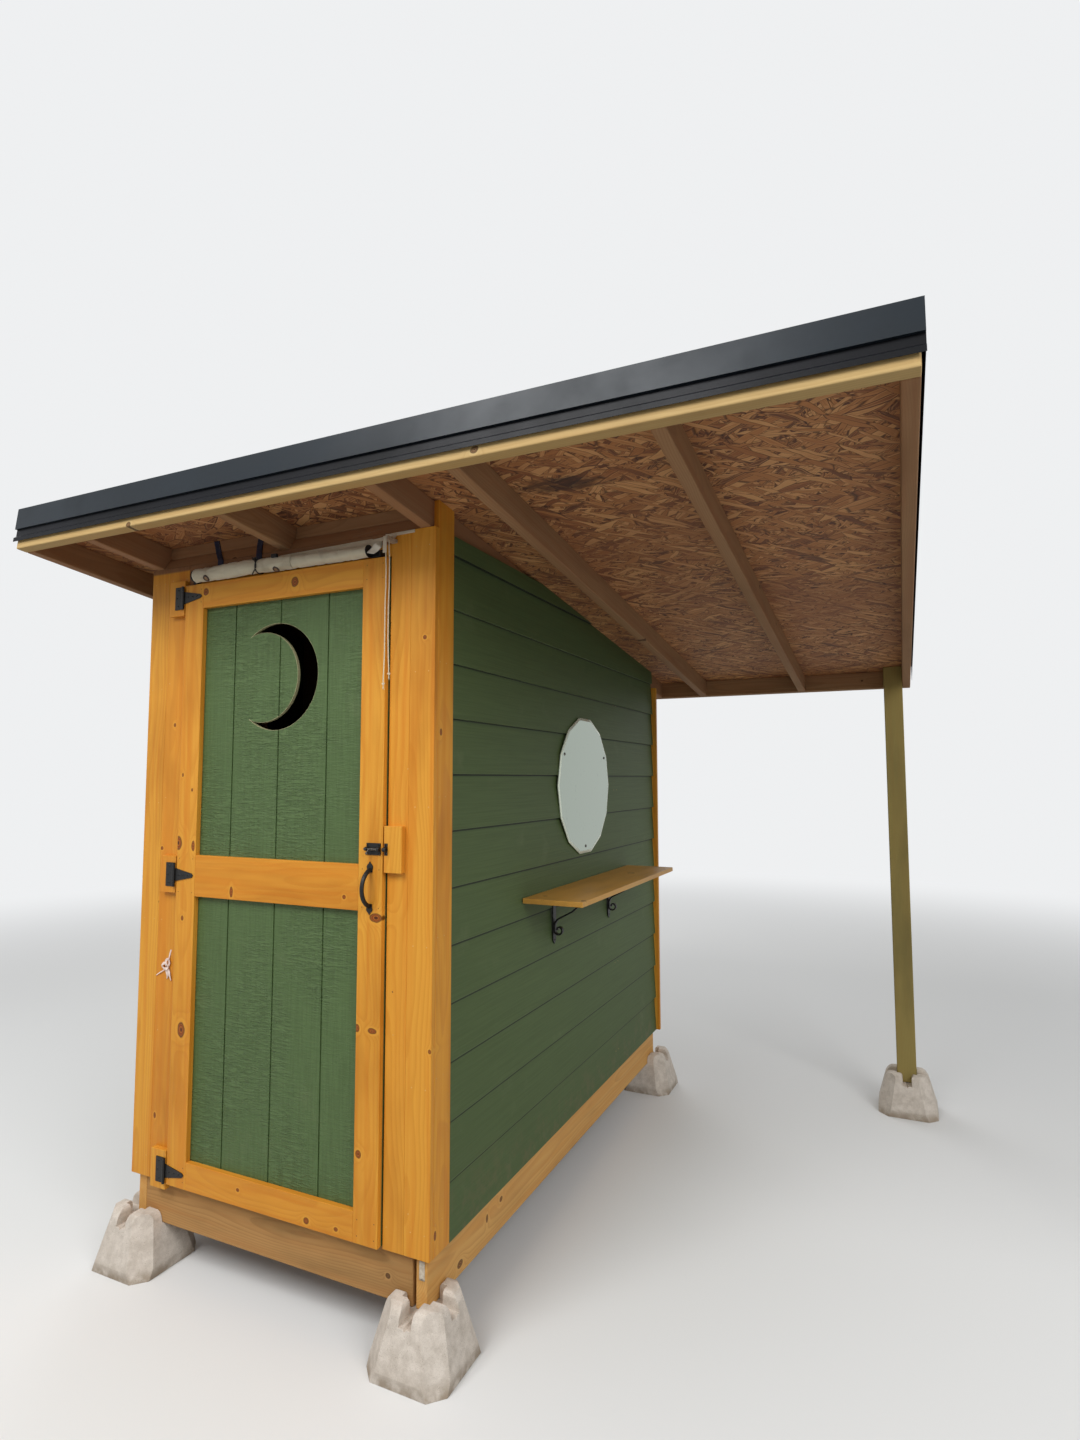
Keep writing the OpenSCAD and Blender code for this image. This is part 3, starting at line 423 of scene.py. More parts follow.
def woodMaterial(name):
    early, late, knot, knotRim, warm, soiled = [srgb(*color) for color in woodColors[name]]
    ringPitch, ringDepth, fibre, streak, wander, knotSize, knotShare, soilDepth, roughness, coat = woodLooks[name]
    material, tree = newMaterial(name, gloss=0.26, coat=coat, coatRoughness=0.3)
    grain, place = attribute(tree, "grainPlace"), objectPlace(tree)
    cellSize = (0.16, 0.42, 1)  # one branch at most in each such stretch of the board
    x, _, z = split(grain)
    inCells = combined(x, z) / cellSize
    knots = cells(inCells, randomness=0.75, voronoi_dimensions="2D")
    luck = split(knots["Color"])
    size = (luck[0] * 0.7 + 0.3) * knotSize * calc("LESS_THAN", luck[1], knotShare)
    size = calc("MAXIMUM", size, 0.0002)
    ratio = calc("LENGTH", (inCells - knots["Position"]) * cellSize * (1, 0.82, 0)) / size
    for x, y, z, dx, dy, dz in setKnots.get(name, []):
        spread = calc("LENGTH", (place - at(x, y, z)) * (1000 / dx, 1000 / dy, 1000 / dz))
        size = blend(calc("LESS_THAN", spread, ratio), size, min(dx, dy, dz) / 1000)
        ratio = calc("MINIMUM", ratio, spread)
    ratio = ratio + (clouds(grain, (60, 60, 30), detail=1) - 0.5) * 0.5
    inKnot = fade(ratio, 0.84, 1.02, 1, 0)
    rim = fade(ratio, 0.7, 0.95) * fade(ratio, 0.98, 1.22, 1, 0)
    halo = fade(ratio, 1.0, 1.3) * fade(ratio, 1.4, 2.2, 1, 0)
    pith = fade(ratio, 0.06, 0.4, 0.9, 0)
    x, y, _ = split(grain + drifting(grain, (4, 4, 1.3), wander * 2))
    push = calc("EXPONENT", (ratio / 2.3) ** 2 * -1) * size * 2.2  # a knot sends the rings round it
    phase = calc("FRACT", (calc("SQRT", x ** 2 + y ** 2) + push) / ringPitch)
    stops = ((0, 0), (0.45, 0.25), (0.8, 0.9), (0.92, 0.85), (1, 0))  # how dark a ring is from its start to its end
    rings = shades(phase, [(share, (v, v, v, 1)) for share, v in stops])
    fibres = clouds(grain, (420, 420, 9), roughness=0.6)
    ringMix = calc("ADD", rings * ringDepth, (fibres - 0.5) * fibre, clamp=True)
    color = mixed(ringMix, early, late)
    color = mixed(fade(clouds(grain, (46, 46, 1.4)), 0.4, 0.72, 0, streak), color, warm)
    color = mixed(attribute(tree, "boardTone", "Fac") * 0.5, color, warm)
    color = mixed(fade(clouds(grain, (7, 7, 1.7), 3, 0.6), 0.45, 0.78, 0, soilDepth), color, soiled)
    color = mixed(halo * 0.45, color, early)
    color = mixed(inKnot * (calc("SINE", ratio * 13) * 0.22 + 0.8), color, knot)
    color = mixed(calc("MAXIMUM", rim * 0.8, pith), color, knotRim)
    if name == "stainedPine":
        color = mixed(bareEdge(place), color, mixed(ringMix, bareLook["pale"], bareLook["dark"]))
    height = rings * 0.4 + fibres * 0.5 - rim * 0.8
    dress(material, color=color, roughness=(ringMix - 0.5) * -0.16 + roughness, normal=relief(height, 0.0005, 0.6))
    return material


wood = {name: woodMaterial(name) for name in woodLooks}
print("wood finishes made")


# boards: copies of the sawn pieces with eased edges, each with its own run of grain

def hashed(point, salt):
    value = math.sin(point.x * 127.1 + point.y * 311.7 + point.z * 74.7 + salt * 19.19) * 43758.5453
    return value - math.floor(value)


def islands(mesh):  # the corners of each board, in the order of the mesh
    seen = set()
    for first in mesh.verts:
        if first in seen:
            continue
        seen.add(first)
        group = [first]
        for vert in group:
            for edge in vert.link_edges:
                other = edge.other_vert(vert)
                if other not in seen:
                    seen.add(other)
                    group.append(other)
        yield group


def reach(points):  # the lowest and the highest corner of a box round them
    return [Vector([pick(p[i] for p in points) for i in range(3)]) for pick in (min, max)]


def easedMesh(nodeName, ease, sharpFrom=25):
    mesh = bmesh.new()
    mesh.from_mesh(nodes[nodeName].data)
    bmesh.ops.remove_doubles(mesh, verts=mesh.verts[:], dist=2e-5)
    bmesh.ops.dissolve_limit(mesh, angle_limit=math.radians(0.6), verts=mesh.verts[:], edges=mesh.edges[:])
    edges = [e for e in mesh.edges if e.is_manifold and e.calc_face_angle(0) > math.radians(sharpFrom)]
    if ease:
        bmesh.ops.bevel(mesh, geom=edges, offset=ease, segments=2, profile=0.5, affect="EDGES", clamp_overlap=True)
    return mesh


def meshData(mesh, name):
    data = bpy.data.meshes.new(name)
    mesh.to_mesh(data)
    mesh.free()
    return data


def finished(mesh, name, materials, body, slot, *replaced):
    data = meshData(mesh, name)
    for material in materials if isinstance(materials, list) else [materials]:
        data.materials.append(material)
    piece = bpy.data.objects.new(name, data)
    bpy.context.scene.collection.objects.link(piece)
    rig.ride(piece, body)
    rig.slot(piece, slot)
    if replaced:
        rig.replaces(piece, *replaced)
    return piece


def boards(nodeName, look, slot, ease, tilt):
    mesh = easedMesh(nodeName, ease)
    grain = mesh.verts.layers.float_vector.new("grainPlace")
    tone = mesh.verts.layers.float.new("boardTone")
    level = Matrix.Rotation(tilt, 3, "X")
    for group in islands(mesh):
        points = [level @ vert.co for vert in group]
        low, high = reach(points)
        size, middle = high - low, (low + high) / 2
        thick, wide, long = sorted(range(3), key=lambda i: size[i])
        across = (hashed(middle, 1) - 0.5) * size[wide] * 1.1
        heart = (0.03 + 0.09 * hashed(middle, 2)) * (1 if hashed(middle, 3) > 0.5 else -1)
        along = hashed(middle, 4) * 40
        for vert, point in zip(group, points):
            local = point - middle
            vert[grain] = (local[wide] + across, local[thick] + heart, local[long] + along)
            vert[tone] = hashed(middle, 5)
    for face in mesh.faces:
        face.smooth = False
    name = nodeName.replace("_", "-") + "-eased"
    return finished(mesh, name, wood[look], bodyOf[nodeName], slot, nodeName)


boardRows = [  # look, slot, eased edge, tilt and the nodes
    ("treatedRim", "treated_lumber", 0.0035, 0, ["end_rims"]),
    ("stainedRim", "stained_rim", 0.0035, 0, ["side_rims"]),
    ("treatedRim", "treated_lumber", 0.0035, 0, ["floor_joists"]),
    ("framing", "raw_lumber", 0.003, 0, ["bottom_plates", "wall_studs"]),
    ("framing", "raw_lumber", 0.003, roofTilt, ["top_plates"]),
    ("stainedPine", "stained_pine", 0.0015, 0, [
        "front_corner_boards", "side_corner_boards", "back_corner_boards", "door_casing", "door_stiles", "door_rails",
    ]),
    ("stainedPine", "stained_pine", 0.0012, 0, ["hinge_blocks", "latch_block"]),
    ("framing", "raw_lumber", 0.0035, roofTilt, ["rafters", "barge_rafters"]),
    ("framing", "raw_lumber", 0.003, roofTilt, ["wall_blocking"]),
    ("paleFascia", "raw_lumber", 0.0035, roofTilt, ["front_fascia"]),
    ("framing", "raw_lumber", 0.0035, roofTilt, ["rear_fascia"]),
    ("treatedPost", "treated_post", 0.004, 0, ["roof_post"]),
    ("shelfBoard", "stained_rim", 0.002, 0, ["wall_shelf"]),
]
for look, slot, ease, tilt, names in boardRows:
    for nodeName in names:
        boards(nodeName, look, slot, ease, tilt)
print("boards eased and given their grain")


# painted boards

paintLooks = {  # light and dark, size of the grain, roughness, depth of the grain
    "sidePaint": ((77, 94, 54), (70, 86, 48), (90, 3.2, 200), 0.6, 0.22),
    "backPaint": ((77, 94, 54), (70, 86, 48), (3.2, 90, 200), 0.6, 0.22),
    "doorPaint": ((80, 102, 60), (72, 92, 52), (120, 120, 6), 0.5, 0.15),
}
paintDust = srgb(120, 126, 92)
courseLook = {
    # the pale colour for each course's lower edge is a painted highlight standing for a lit edge
    "height": 0.1737, "shadow": srgb(18, 24, 12), "band": 0.024, "lowBand": 0.07, "worn": srgb(112, 124, 86),
    "splash": srgb(110, 96, 68), "splashTo": 0.22,
}
# ridge and hollow are the painted highlight and painted shade for the sawn marks
sawnLook = {"ridge": srgb(98, 120, 76), "hollow": srgb(52, 70, 38), "depth": 0.0016}
moonLook = {
    "middle": (609, 0, 1717), "outer": 0.18, "inner": 0.153, "shift": 0.057, "line": 0.0011, "cut": srgb(160, 156, 118),
}


def paintedBoard(name):
    light, dark, grainSize, roughness, depth = paintLooks[name]
    material, tree = newMaterial(name, roughness, gloss=0.3)
    place, light, dark = objectPlace(tree), srgb(*light), srgb(*dark)
    grain = clouds(place, grainSize, 3, 0.6)
    color = mixed(fade(grain, 0.32, 0.68), dark, light)
    color = mixed(fade(clouds(place, 1.3), 0.35, 0.75, 0, 0.4), color, dark)
    color = mixed(fade(clouds(place, 5, 4, 0.65), 0.58, 0.82, 0, 0.22), color, paintDust)
    return material, place, color, relief(fade(grain, 0.25, 0.75), 0.0012, depth)


def lappedPaint(name):
    look = courseLook
    material, place, color, normal = paintedBoard(name)
    height = split(place)[2] - corner.z
    share = calc("FRACT", height / look["height"])
    waver = clouds(place, (30, 30, 4), 3) * 0.012
    deeper = fade(height, 0.1, 1.9, look["lowBand"], look["band"])  # the shadow under a lap, wider towards the foot
    under = fade(share + waver + deeper, 1, 1.012)
    soft = fade(share, 0.92, 0.98, 0, 0.25)
    color = mixed(calc("MAXIMUM", under * 0.88, soft), color, look["shadow"])
    # painted highlight: a thin pale line along each course's lower edge
    color = mixed(fade(share, 0.0, 0.016, 0.35, 0), color, look["worn"])
    splash = fade(height, 0.0, look["splashTo"], 0.35, 0) * fade(clouds(place, 18, 5, 0.7), 0.45, 0.65)
    dress(material, color=mixed(splash, color, look["splash"]), normal=normal)
    return material


def moonEdge(place):  # a bare line round the moon's cut
    look = moonLook
    offset = (place - at(*look["middle"])) * (1, 0, 1)
    outward, inward = calc("LENGTH", offset), calc("LENGTH", offset + (look["shift"], 0, 0))
    away = calc("MINIMUM", calc("ABSOLUTE", outward - look["outer"]), calc("ABSOLUTE", inward - look["inner"]))
    within = calc("LESS_THAN", outward, look["outer"] + 0.002)
    outside = calc("GREATER_THAN", inward, look["inner"] - 0.002)
    return calc("LESS_THAN", away, look["line"]) * (within * outside)


def doorPaint():
    look = sawnLook
    material, place, color, normal = paintedBoard("doorPaint")
    sawn = clouds(place, (22, 22, 150), 3, 0.55, distortion=0.8)
    patches = fade(clouds(place, (5, 5, 3), 3), 0.4, 0.6, 0.25, 1)
    ridges = fade(sawn, 0.46, 0.6) * patches
    hollow = fade(sawn, 0.3, 0.42, 1, 0) * patches
    # painted highlight on the sawn ridges and painted shade in the hollows
    color = mixed(ridges * 0.3, color, look["ridge"])
    color = mixed(hollow * 0.4, color, look["hollow"])
    color = mixed(moonEdge(place), color, moonLook["cut"])
    dress(material, color=color, normal=relief(ridges - hollow * 0.6, look["depth"], 0.9, normal))
    return material


def refinish(material, slot, *names):
    for name in names:
        nodes[name].data.materials.clear()
        nodes[name].data.materials.append(material)
        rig.slot(nodes[name], slot)


refinish(lappedPaint("sidePaint"), "green_siding", "left_siding", "right_siding")
refinish(lappedPaint("backPaint"), "green_siding", "back_siding")
refinish(doorPaint(), "green_panel", "door_panel")


# sheets of pressed strands: long thin chips laid every way, one layer over another

strandLook = {
    "pale": srgb(206, 152, 98), "tan": srgb(172, 114, 66), "red": srgb(140, 84, 48), "dark": srgb(92, 54, 32),
    # gap is the painted shade at each chip's edge
    "gap": srgb(44, 24, 14), "length": 0.11, "width": 0.0155, "share": 0.36, "roughness": 0.7, "depth": 0.0022,
    "turns": (0.05, -0.7, 1.35, 0.6, -1.15, 0.2, 0.95, -0.3, 0.45, -0.8),  # most strands lie along the sheet
    "soak": srgb(44, 24, 16), "soakAt": (1622, 60, 2200), "soakSize": (2.4, 5.2, 0),
}


def strandLayer(place, index, turn):  # one layer's colour, height and where it lies on top
    look = strandLook
    turned = stretched(place, (1, 1, 0), turn, (index * 1.7, index * 2.3, 0))
    laid = stretched(turned, (1 / look["length"], (1 + 0.4 * math.sin(index * 2.1)) / look["width"], 1))
    chips = cells(laid, voronoi_dimensions="2D")
    border = cells(laid, voronoi_dimensions="2D", feature="DISTANCE_TO_EDGE")["Distance"]
    luck = split(chips["Color"])
    value = luck[0] + (clouds(turned, (14, 420, 1), roughness=0.65) - 0.5) * 0.9
    stops = ((0, "dark"), (0.16, "red"), (0.4, "tan"), (0.66, "tan"), (0.9, "pale"))
    color = shades(value, [(share, look[shade]) for share, shade in stops])
    # painted shade darkens each chip toward its edge, and a painted highlight lightens a band just inside it
    edge = fade(border, 0.02, 0.07, 1, 0)
    color = mixed(edge * 0.7, color, look["gap"])
    lit = fade(border, 0.06, 0.12) * fade(border, 0.14, 0.24, 1, 0)
    color = mixed(lit * (luck[2] * 0.6), color, look["pale"])
    return color, luck[2] * 0.8 + edge * -0.6, calc("LESS_THAN", luck[1], look["share"])


def strandMaterial():
    look = strandLook
    material, tree = newMaterial("pressedStrands", look["roughness"])
    base = objectPlace(tree)
    place = base + drifting(base, 8, 0.035)
    color, height = look["dark"], 0.0
    for index, turn in enumerate(look["turns"]):
        chipColor, chipHeight, onTop = strandLayer(place, index, turn)
        color = mixed(onTop, color, chipColor)
        height = blend(onTop, height, chipHeight) if index else chipHeight
    color = mixed(fade(clouds(base, 2.2, 3), 0.45, 0.7, 0, 0.4), color, look["red"])
    offset = (base - at(*look["soakAt"])) * look["soakSize"]
    soak = calc("LENGTH", offset) + clouds(base, (9, 26, 1), 5, 0.75)
    color = mixed(fade(soak, 0.6, 0.86, 0.8, 0), color, look["soak"])
    dress(material, color=color, normal=relief(height, look["depth"]))
    return material


refinish(strandMaterial(), "strand_board", "roof_sheathing")


# metals, concrete and sheet goods

metalLooks = {  # two colours, roughness from and to, metallic, gloss, dents: size and depth, specks: size and depth
    "roofMetal": ((30, 38, 45), (23, 30, 36), (0.3, 0.44), 0, 0.2, (0.8, 2, 4), 0.006, 700, 0.00004),
    # the drip edge's near-black colours are partly its own dark finish and partly painted shade and painted reflection
    # for the dark band under the front trim
    "dripMetal": ((20, 21, 26), (14, 15, 18), (0.34, 0.46), 0, 0.12, (1.2, 2, 4), 0.002, 700, 0.00004),
    "blackIron": ((22, 21, 20), (14, 13, 13), (0.36, 0.52), 0, 0.35, (120, 120, 120), 0.0004, 900, 0.0001),
    "boltSteel": ((104, 100, 95), (70, 67, 63), (0.22, 0.4), 0.9, 0.5, (160, 160, 160), 0.0002, 700, 0.0001),
}


def metalMaterial(name):
    base, other, rough, metallic, gloss, dent, dentDepth, speck, speckDepth = metalLooks[name]
    material, tree = newMaterial(name, metallic=metallic, gloss=gloss)
    place = objectPlace(tree)
    wear = clouds(place, dent[1] * 1.7, 5, 0.65)
    normal = relief(clouds(place, dent, 1.5), dentDepth)
    normal = relief(clouds(place, speck), speckDepth, 1.0, normal)
    color = mixed(fade(wear, 0.3, 0.7), srgb(*base), srgb(*other))
    dress(material, color=color, roughness=fade(wear, 0.3, 0.75, *rough), normal=normal)
    return material


metal = {name: metalMaterial(name) for name in metalLooks}
refinish(metal["roofMetal"], "roof_metal", "roof_panels", "front_roof_trim", "rake_trims")
refinish(metal["dripMetal"], "roof_metal", "drip_edge")
ironNames = ("hinge_plates", "hinge_straps", "bolt_keeper", "bolt_guide", "door_pull", "shelf_brackets")
refinish(metal["blackIron"], "black_iron", *ironNames)
refinish(metal["boltSteel"], "bolt_steel", "sliding_bolt")

concreteLook = {
    "pale": srgb(218, 208, 196), "dark": srgb(192, 181, 168), "soil": srgb(140, 122, 100), "pit": 260, "ease": 0.0035,
    "soilTo": 0.05, "sharpFrom": 18,
}


def concreteMaterial():
    look = concreteLook
    material, tree = newMaterial("castConcrete", 0.88)
    place = objectPlace(tree)
    cast, sand = clouds(place, 26, 5, 0.65), clouds(place, 520, 2, 0.7)
    color = mixed(fade(cast, 0.3, 0.72), look["pale"], look["dark"])
    color = mixed(fade(sand, 0.52, 0.7, 0, 0.4), color, look["soil"])
    foot = fade(split(place)[2], 0.0, look["soilTo"], 0.8, 0) * fade(clouds(place, 22, 4), 0.3, 0.6)
    color = mixed(foot, color, look["soil"])
    hole = fade(cells(place, look["pit"])["Distance"], 0.1, 0.26)
    some = fade(clouds(place, 40), 0.52, 0.62)  # pits only here and there
    hole = 1 - (1 - hole) * some
    color = mixed(hole, look["soil"], color)
    normal = relief(sand * 0.5 + hole, 0.001, 0.8, relief(cast, 0.003, 0.5))
    dress(material, color=color, normal=normal)
    return material


concrete = concreteMaterial()
for nodeName in ("house_deck_blocks", "post_deck_block"):
    blocks = easedMesh(nodeName, concreteLook["ease"], concreteLook["sharpFrom"])
    for face in blocks.faces:
        face.smooth = False
    finished(blocks, nodeName.replace("_", "-") + "-cast", concrete, "house", "concrete", nodeName)

plywoodLook = {
    "pale": srgb(196, 154, 104), "dark": srgb(134, 98, 62), "warm": srgb(160, 118, 74),
    "layers": 0.0076, "grain": (3, 60, 60),
}


def plywoodMaterial():
    look = plywoodLook
    material, tree = newMaterial("floorPlywood", 0.75)
    place = objectPlace(tree)
    layer = calc("GREATER_THAN", calc("FRACT", split(place)[2] / look["layers"]), 0.5)
    grain = clouds(place, look["grain"], 3)
    color = mixed(layer * 0.6, look["pale"], look["dark"])
    color = mixed(fade(grain, 0.35, 0.7, 0, 0.5), color, look["warm"])
    dress(material, color=color, normal=relief(grain, 0.0008, 0.6))
    return material


refinish(plywoodMaterial(), "plywood", "floor_sheets")
print("metal, concrete and sheet goods finished")


# mirror: a many-sided plate with a frosted bevel

mirrorLook = {
    "sides": 14, "bevel": 0.011, "drop": 0.0022, "back": 0.001,
    "glass": srgb(160, 170, 158), "foxed": srgb(112, 120, 110),
    "frost": srgb(206, 216, 196), "frostLight": srgb(236, 242, 226),
}


def ringWalls(mesh, loops, smooth=False, material=0):  # faces between one ring of corners and the next
    for inner, outer in zip(loops, loops[1:]):
        for i in range(len(inner)):
            j = (i + 1) % len(inner)
            face = mesh.faces.new((inner[i], inner[j], outer[j], outer[i]))
            face.smooth, face.material_index = smooth, material


def mirrorPiece():
    look = mirrorLook
    low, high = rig.box("wall_mirror")
    middle, radius = (low + high) / 2, (high.y - low.y) / 2
    mesh = bmesh.new()
    loops = []
    for x, r in ((low.x, radius - look["back"]), (high.x - look["drop"], radius), (high.x, radius - look["bevel"])):
        spots = [i * 2 * math.pi / look["sides"] for i in range(look["sides"])]
        loops.append([mesh.verts.new((x, middle.y + r * math.cos(a), middle.z + r * math.sin(a))) for a in spots])
    ringWalls(mesh, loops, material=1)
    mesh.faces.new(loops[-1])
    mesh.faces.new(list(reversed(loops[0]))).material_index = 1
    bmesh.ops.recalc_face_normals(mesh, faces=mesh.faces[:])
    glass, tree = newMaterial("mirrorGlass", metallic=1.0)
    foxing = clouds(objectPlace(tree), 30, 5, 0.7)
    shine = mixed(fade(foxing, 0.6, 0.8, 0, 0.4), look["glass"], look["foxed"])
    dress(glass, color=shine, roughness=fade(foxing, 0.55, 0.8, 0.015, 0.2))
    frosted = mottled("frostedBevel", look["frost"], look["frostLight"], 900, 2, shine=(0.18, 0.4), metallic=0.6)
    return finished(mesh, "wall-mirror-bevelled", [glass, frosted], "house", "mirror_glass", "wall_mirror")


mirrorPiece()


# strands along a path: cords, ties and their knots all come from this tree

def toMesh(holder, name):  # what a tree makes, as a plain mesh
    graph = bpy.context.evaluated_depsgraph_get()
    made = bpy.data.meshes.new_from_object(holder.evaluated_get(graph))
    bpy.data.objects.remove(holder)
    made.name = name
    piece = bpy.data.objects.new(name, made)
    bpy.context.scene.collection.objects.link(piece)
    return piece


def run(name, tree, data, values, body, slot):  # the tree on its points, with its inputs set by identifier
    holder = bpy.data.objects.new(name + "-points", data)
    bpy.context.scene.collection.objects.link(holder)
    modifier = holder.modifiers.new(tree.name, "NODES")
    modifier.node_group = tree
    for item in tree.interface.items_tree:
        if item.in_out == "INPUT" and item.name in values:
            modifier[item.identifier] = values[item.name]
    piece = toMesh(holder, name)
    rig.ride(piece, body)
    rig.slot(piece, slot)
    return piece


def newTree(name, defaults):  # the tree and its inputs by name
    tree = bpy.data.node_groups.new(name, "GeometryNodeTree")
    tree.interface.new_socket("Geometry", in_out="INPUT", socket_type="NodeSocketGeometry")
    for label, value in defaults.items():
        kind = "NodeSocketInt" if isinstance(value, int) else "NodeSocketFloat"
        tree.interface.new_socket(label, in_out="INPUT", socket_type=kind).default_value = value
    tree.interface.new_socket("Geometry", in_out="OUTPUT", socket_type="NodeSocketGeometry")
    return tree, named(tree.nodes.new("NodeGroupInput"))


def closeTree(geometry, material):  # real geometry with its material, into the tree's output
    tree = geometry.tree
    real = add(tree, "GeometryNodeRealizeInstances", {"Geometry": geometry})
    real = add(tree, "GeometryNodeSetMaterial", {"Geometry": real, "Material": material})
    feed(tree.nodes.new("NodeGroupOutput").inputs[0], real)
    return tree


def strandTree(material):
    strandCount, sides, wobbleScale = 3, 7, 300
    tree, inputs = newTree("strandsAlongPath", {
        "Strand radius": 0.00092, "Strand offset": 0.00106, "Lay": 0.013, "Step": 0.0016, "Fuzz": 0.0001, "Seed": 5,
    })
    curve = add(tree, "GeometryNodeMeshToCurve", {"Mesh": inputs["Geometry"]})
    curve = add(tree, "GeometryNodeCurveSplineType", {"Curve": curve}, spline_type="CATMULL_ROM")
    curve = add(tree, "GeometryNodeResampleCurve", {"Curve": curve, "Length": inputs["Step"]}, mode="LENGTH")
    done = add(tree, "GeometryNodeSplineParameter", output="Length")
    normal = add(tree, "GeometryNodeInputNormal")
    other = calc("CROSS_PRODUCT", add(tree, "GeometryNodeInputTangent"), normal)
    bundle = node(tree, "GeometryNodeJoinGeometry")
    for index in range(strandCount):
        angle = done * (2 * math.pi) / inputs["Lay"] + index * 2 * math.pi / strandCount
        aside = normal * calc("COSINE", angle) + other * calc("SINE", angle)
        wobble = combined(done * wobbleScale, inputs["Seed"] * 7.3 + index * 3.1)
        offset = aside * inputs["Strand offset"] + drifting(wobble, 1.0, inputs["Fuzz"])
        moved = add(tree, "GeometryNodeSetPosition", {"Geometry": curve, "Offset": offset})
        place = {"Geometry": moved, "Name": "cordPlace", "Value": combined(done, float(index))}
        kept = add(tree, "GeometryNodeStoreNamedAttribute", place, data_type="FLOAT_VECTOR", domain="POINT")
        circle = {"Resolution": sides, "Radius": inputs["Strand radius"]}
        ring = add(tree, "GeometryNodeCurvePrimitiveCircle", circle, mode="RADIUS")
        tube = {"Curve": kept, "Profile Curve": ring, "Fill Caps": True}
        feed(bundle.inputs[0], add(tree, "GeometryNodeCurveToMesh", tube))
    return closeTree(Signal(bundle.outputs[0]), material)


def strands(name, material, slot, lines, **sizes):  # lines: lists of points in the frame, in metres
    data = bpy.data.meshes.new(name + "-points")
    points, edges = [], []
    for line in lines:
        edges += [(len(points) + i, len(points) + i + 1) for i in range(len(line) - 1)]
        points += line
    data.from_pydata(points, edges, [])
    piece = run(name, strandTree(material), data, sizes, "house", slot)
    for face in piece.data.polygons:
        face.use_smooth = len(face.vertices) == 4
    return piece


def fibreMaterial(name, pale, dark, roughness):
    material, tree = newMaterial(name, roughness)
    place = attribute(tree, "cordPlace")
    hairs = clouds(stretched(place, (140, 9, 1)) + stretched(objectPlace(tree), (900, 900, 300)), 1.0, 3)
    color = mixed(fade(hairs, 0.35, 0.7), pale, dark)
    color = mixed(fade(clouds(place, (22, 3, 1)), 0.45, 0.8, 0, 0.5), color, dark)
    dress(material, color=color, normal=relief(hairs, 0.0004, 0.8))
    return material


cordLook = {
    "radius": 0.002, "pale": srgb(236, 226, 202), "dark": srgb(200, 182, 148), "knot": 0.0034, "knotLift": 0.005,
    "hairs": 13, "hairLength": 0.014, "hairLean": 0.0035, "foot": (1086, 0, 2108),  # foot: under the cords' guide
    "hair": {"Strand radius": 0.00022, "Strand offset": 0.0003, "Step": 0.002, "Fuzz": 0.0006},
}
longRoute = [  # aside, forward and down from there, in mm
    (-5, -42, 0), (-5, -42, 10), (-5, -42, 24), (-4, -42, 42), (-3, -42, 64), (-2, -42, 88), (-2, -42, 114),
    (-2, -42, 142), (-3, -42, 172), (-4, -42, 204), (-4, -42, 236), (-4, -42, 268), (-4, -42, 300), (-4, -42, 330),
    (-4, -42, 358), (-5, -42, 384), (-6, -42, 408), (-7, -42, 430), (-7, -42, 450),
]
shortRoute = [
    (5, -38, 0), (5, -38, 10), (5, -38, 24), (6, -37, 42), (6, -36, 64), (6, -36, 88), (6, -36, 114), (6, -36, 142),
    (5, -36, 172), (4, -36, 204), (4, -36, 236), (4, -36, 268), (4, -36, 300), (5, -36, 328), (6, -36, 354),
    (7, -36, 378), (8, -36, 400), (9, -36, 420),
]
cordFibre = fibreMaterial("cordFibre", cordLook["pale"], cordLook["dark"], 0.85)


def dense(points, steps):  # a smooth line through the points
    points = [Vector(point) for point in points]
    line = []
    for i in range(len(points) - 1):
        a, b = points[max(i - 1, 0)], points[i]
        c, d = points[i + 1], points[min(i + 2, len(points) - 1)]
        for k in range(steps):
            t = k / steps
            curve = 2 * b + (c - a) * t + (2 * a - 5 * b + 4 * c - d) * t * t + (3 * b - 3 * c + d - a) * t ** 3
            line.append(0.5 * curve)
    return line + [points[-1]]


def lineLength(points):
    return sum((b - a).length for a, b in zip(points, points[1:]))


def trefoil(middle, size, tall=0.9, count=48):  # an overhand knot drawn tight
    knot = []
    for i in range(count + 1):
        a = 2 * math.pi * i / count
        spot = (math.sin(a) + 2 * math.sin(2 * a), 1.4 * math.sin(3 * a), tall * (math.cos(a) - 2 * math.cos(2 * a)))
        knot.append(middle + size / 3 * Vector(spot))
    return knot


def pullCord(name, route, replaced, seed):
    look = cordLook
    line = dense([at(*look["foot"]) + Vector((x, y, -drop)) / 1000 for x, y, drop in route], 6)
    cord = strands(name, cordFibre, "cord_fibre", [line], Seed=seed)
    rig.replaces(cord, replaced)
    end = line[-1]
    tied = trefoil(end + Vector((0, 0, look["knotLift"])), look["knot"])
    knot = strands(name + "-knot", cordFibre, "cord_fibre", [tied], Seed=seed + 1)
    tufts = []
    for i in range(look["hairs"]):
        lean = Vector((math.cos(i * 2.4), math.sin(i * 2.4), 0)) * look["hairLean"] * ((i * 0.37) % 1)
        drop = Vector((0, 0, look["hairLength"] * (0.6 + 0.4 * ((i * 0.61) % 1))))
        tufts.append([end + lean * 0.2, end + lean * 0.5 - drop * 0.4, end + lean - drop])
    fray = strands(name + "-fray", cordFibre, "cord_fibre", tufts, Seed=seed + 2, **look["hair"])
    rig.cord(
        cord, exit=line[0], length=lineLength(line), diameter=2 * look["radius"],
        far_end="knot", stiffness="limp", lay="hanging", path=line, with_pieces=[knot, fray],
    )


pullCord("long-cord-laid", longRoute, "long_pull_cord", 3)
pullCord("short-cord-laid", shortRoute, "short_pull_cord", 11)
print("cords laid")


# rolled blind: one cloth wound up, its top edge rising behind it, and a flap of the last turn lying over it

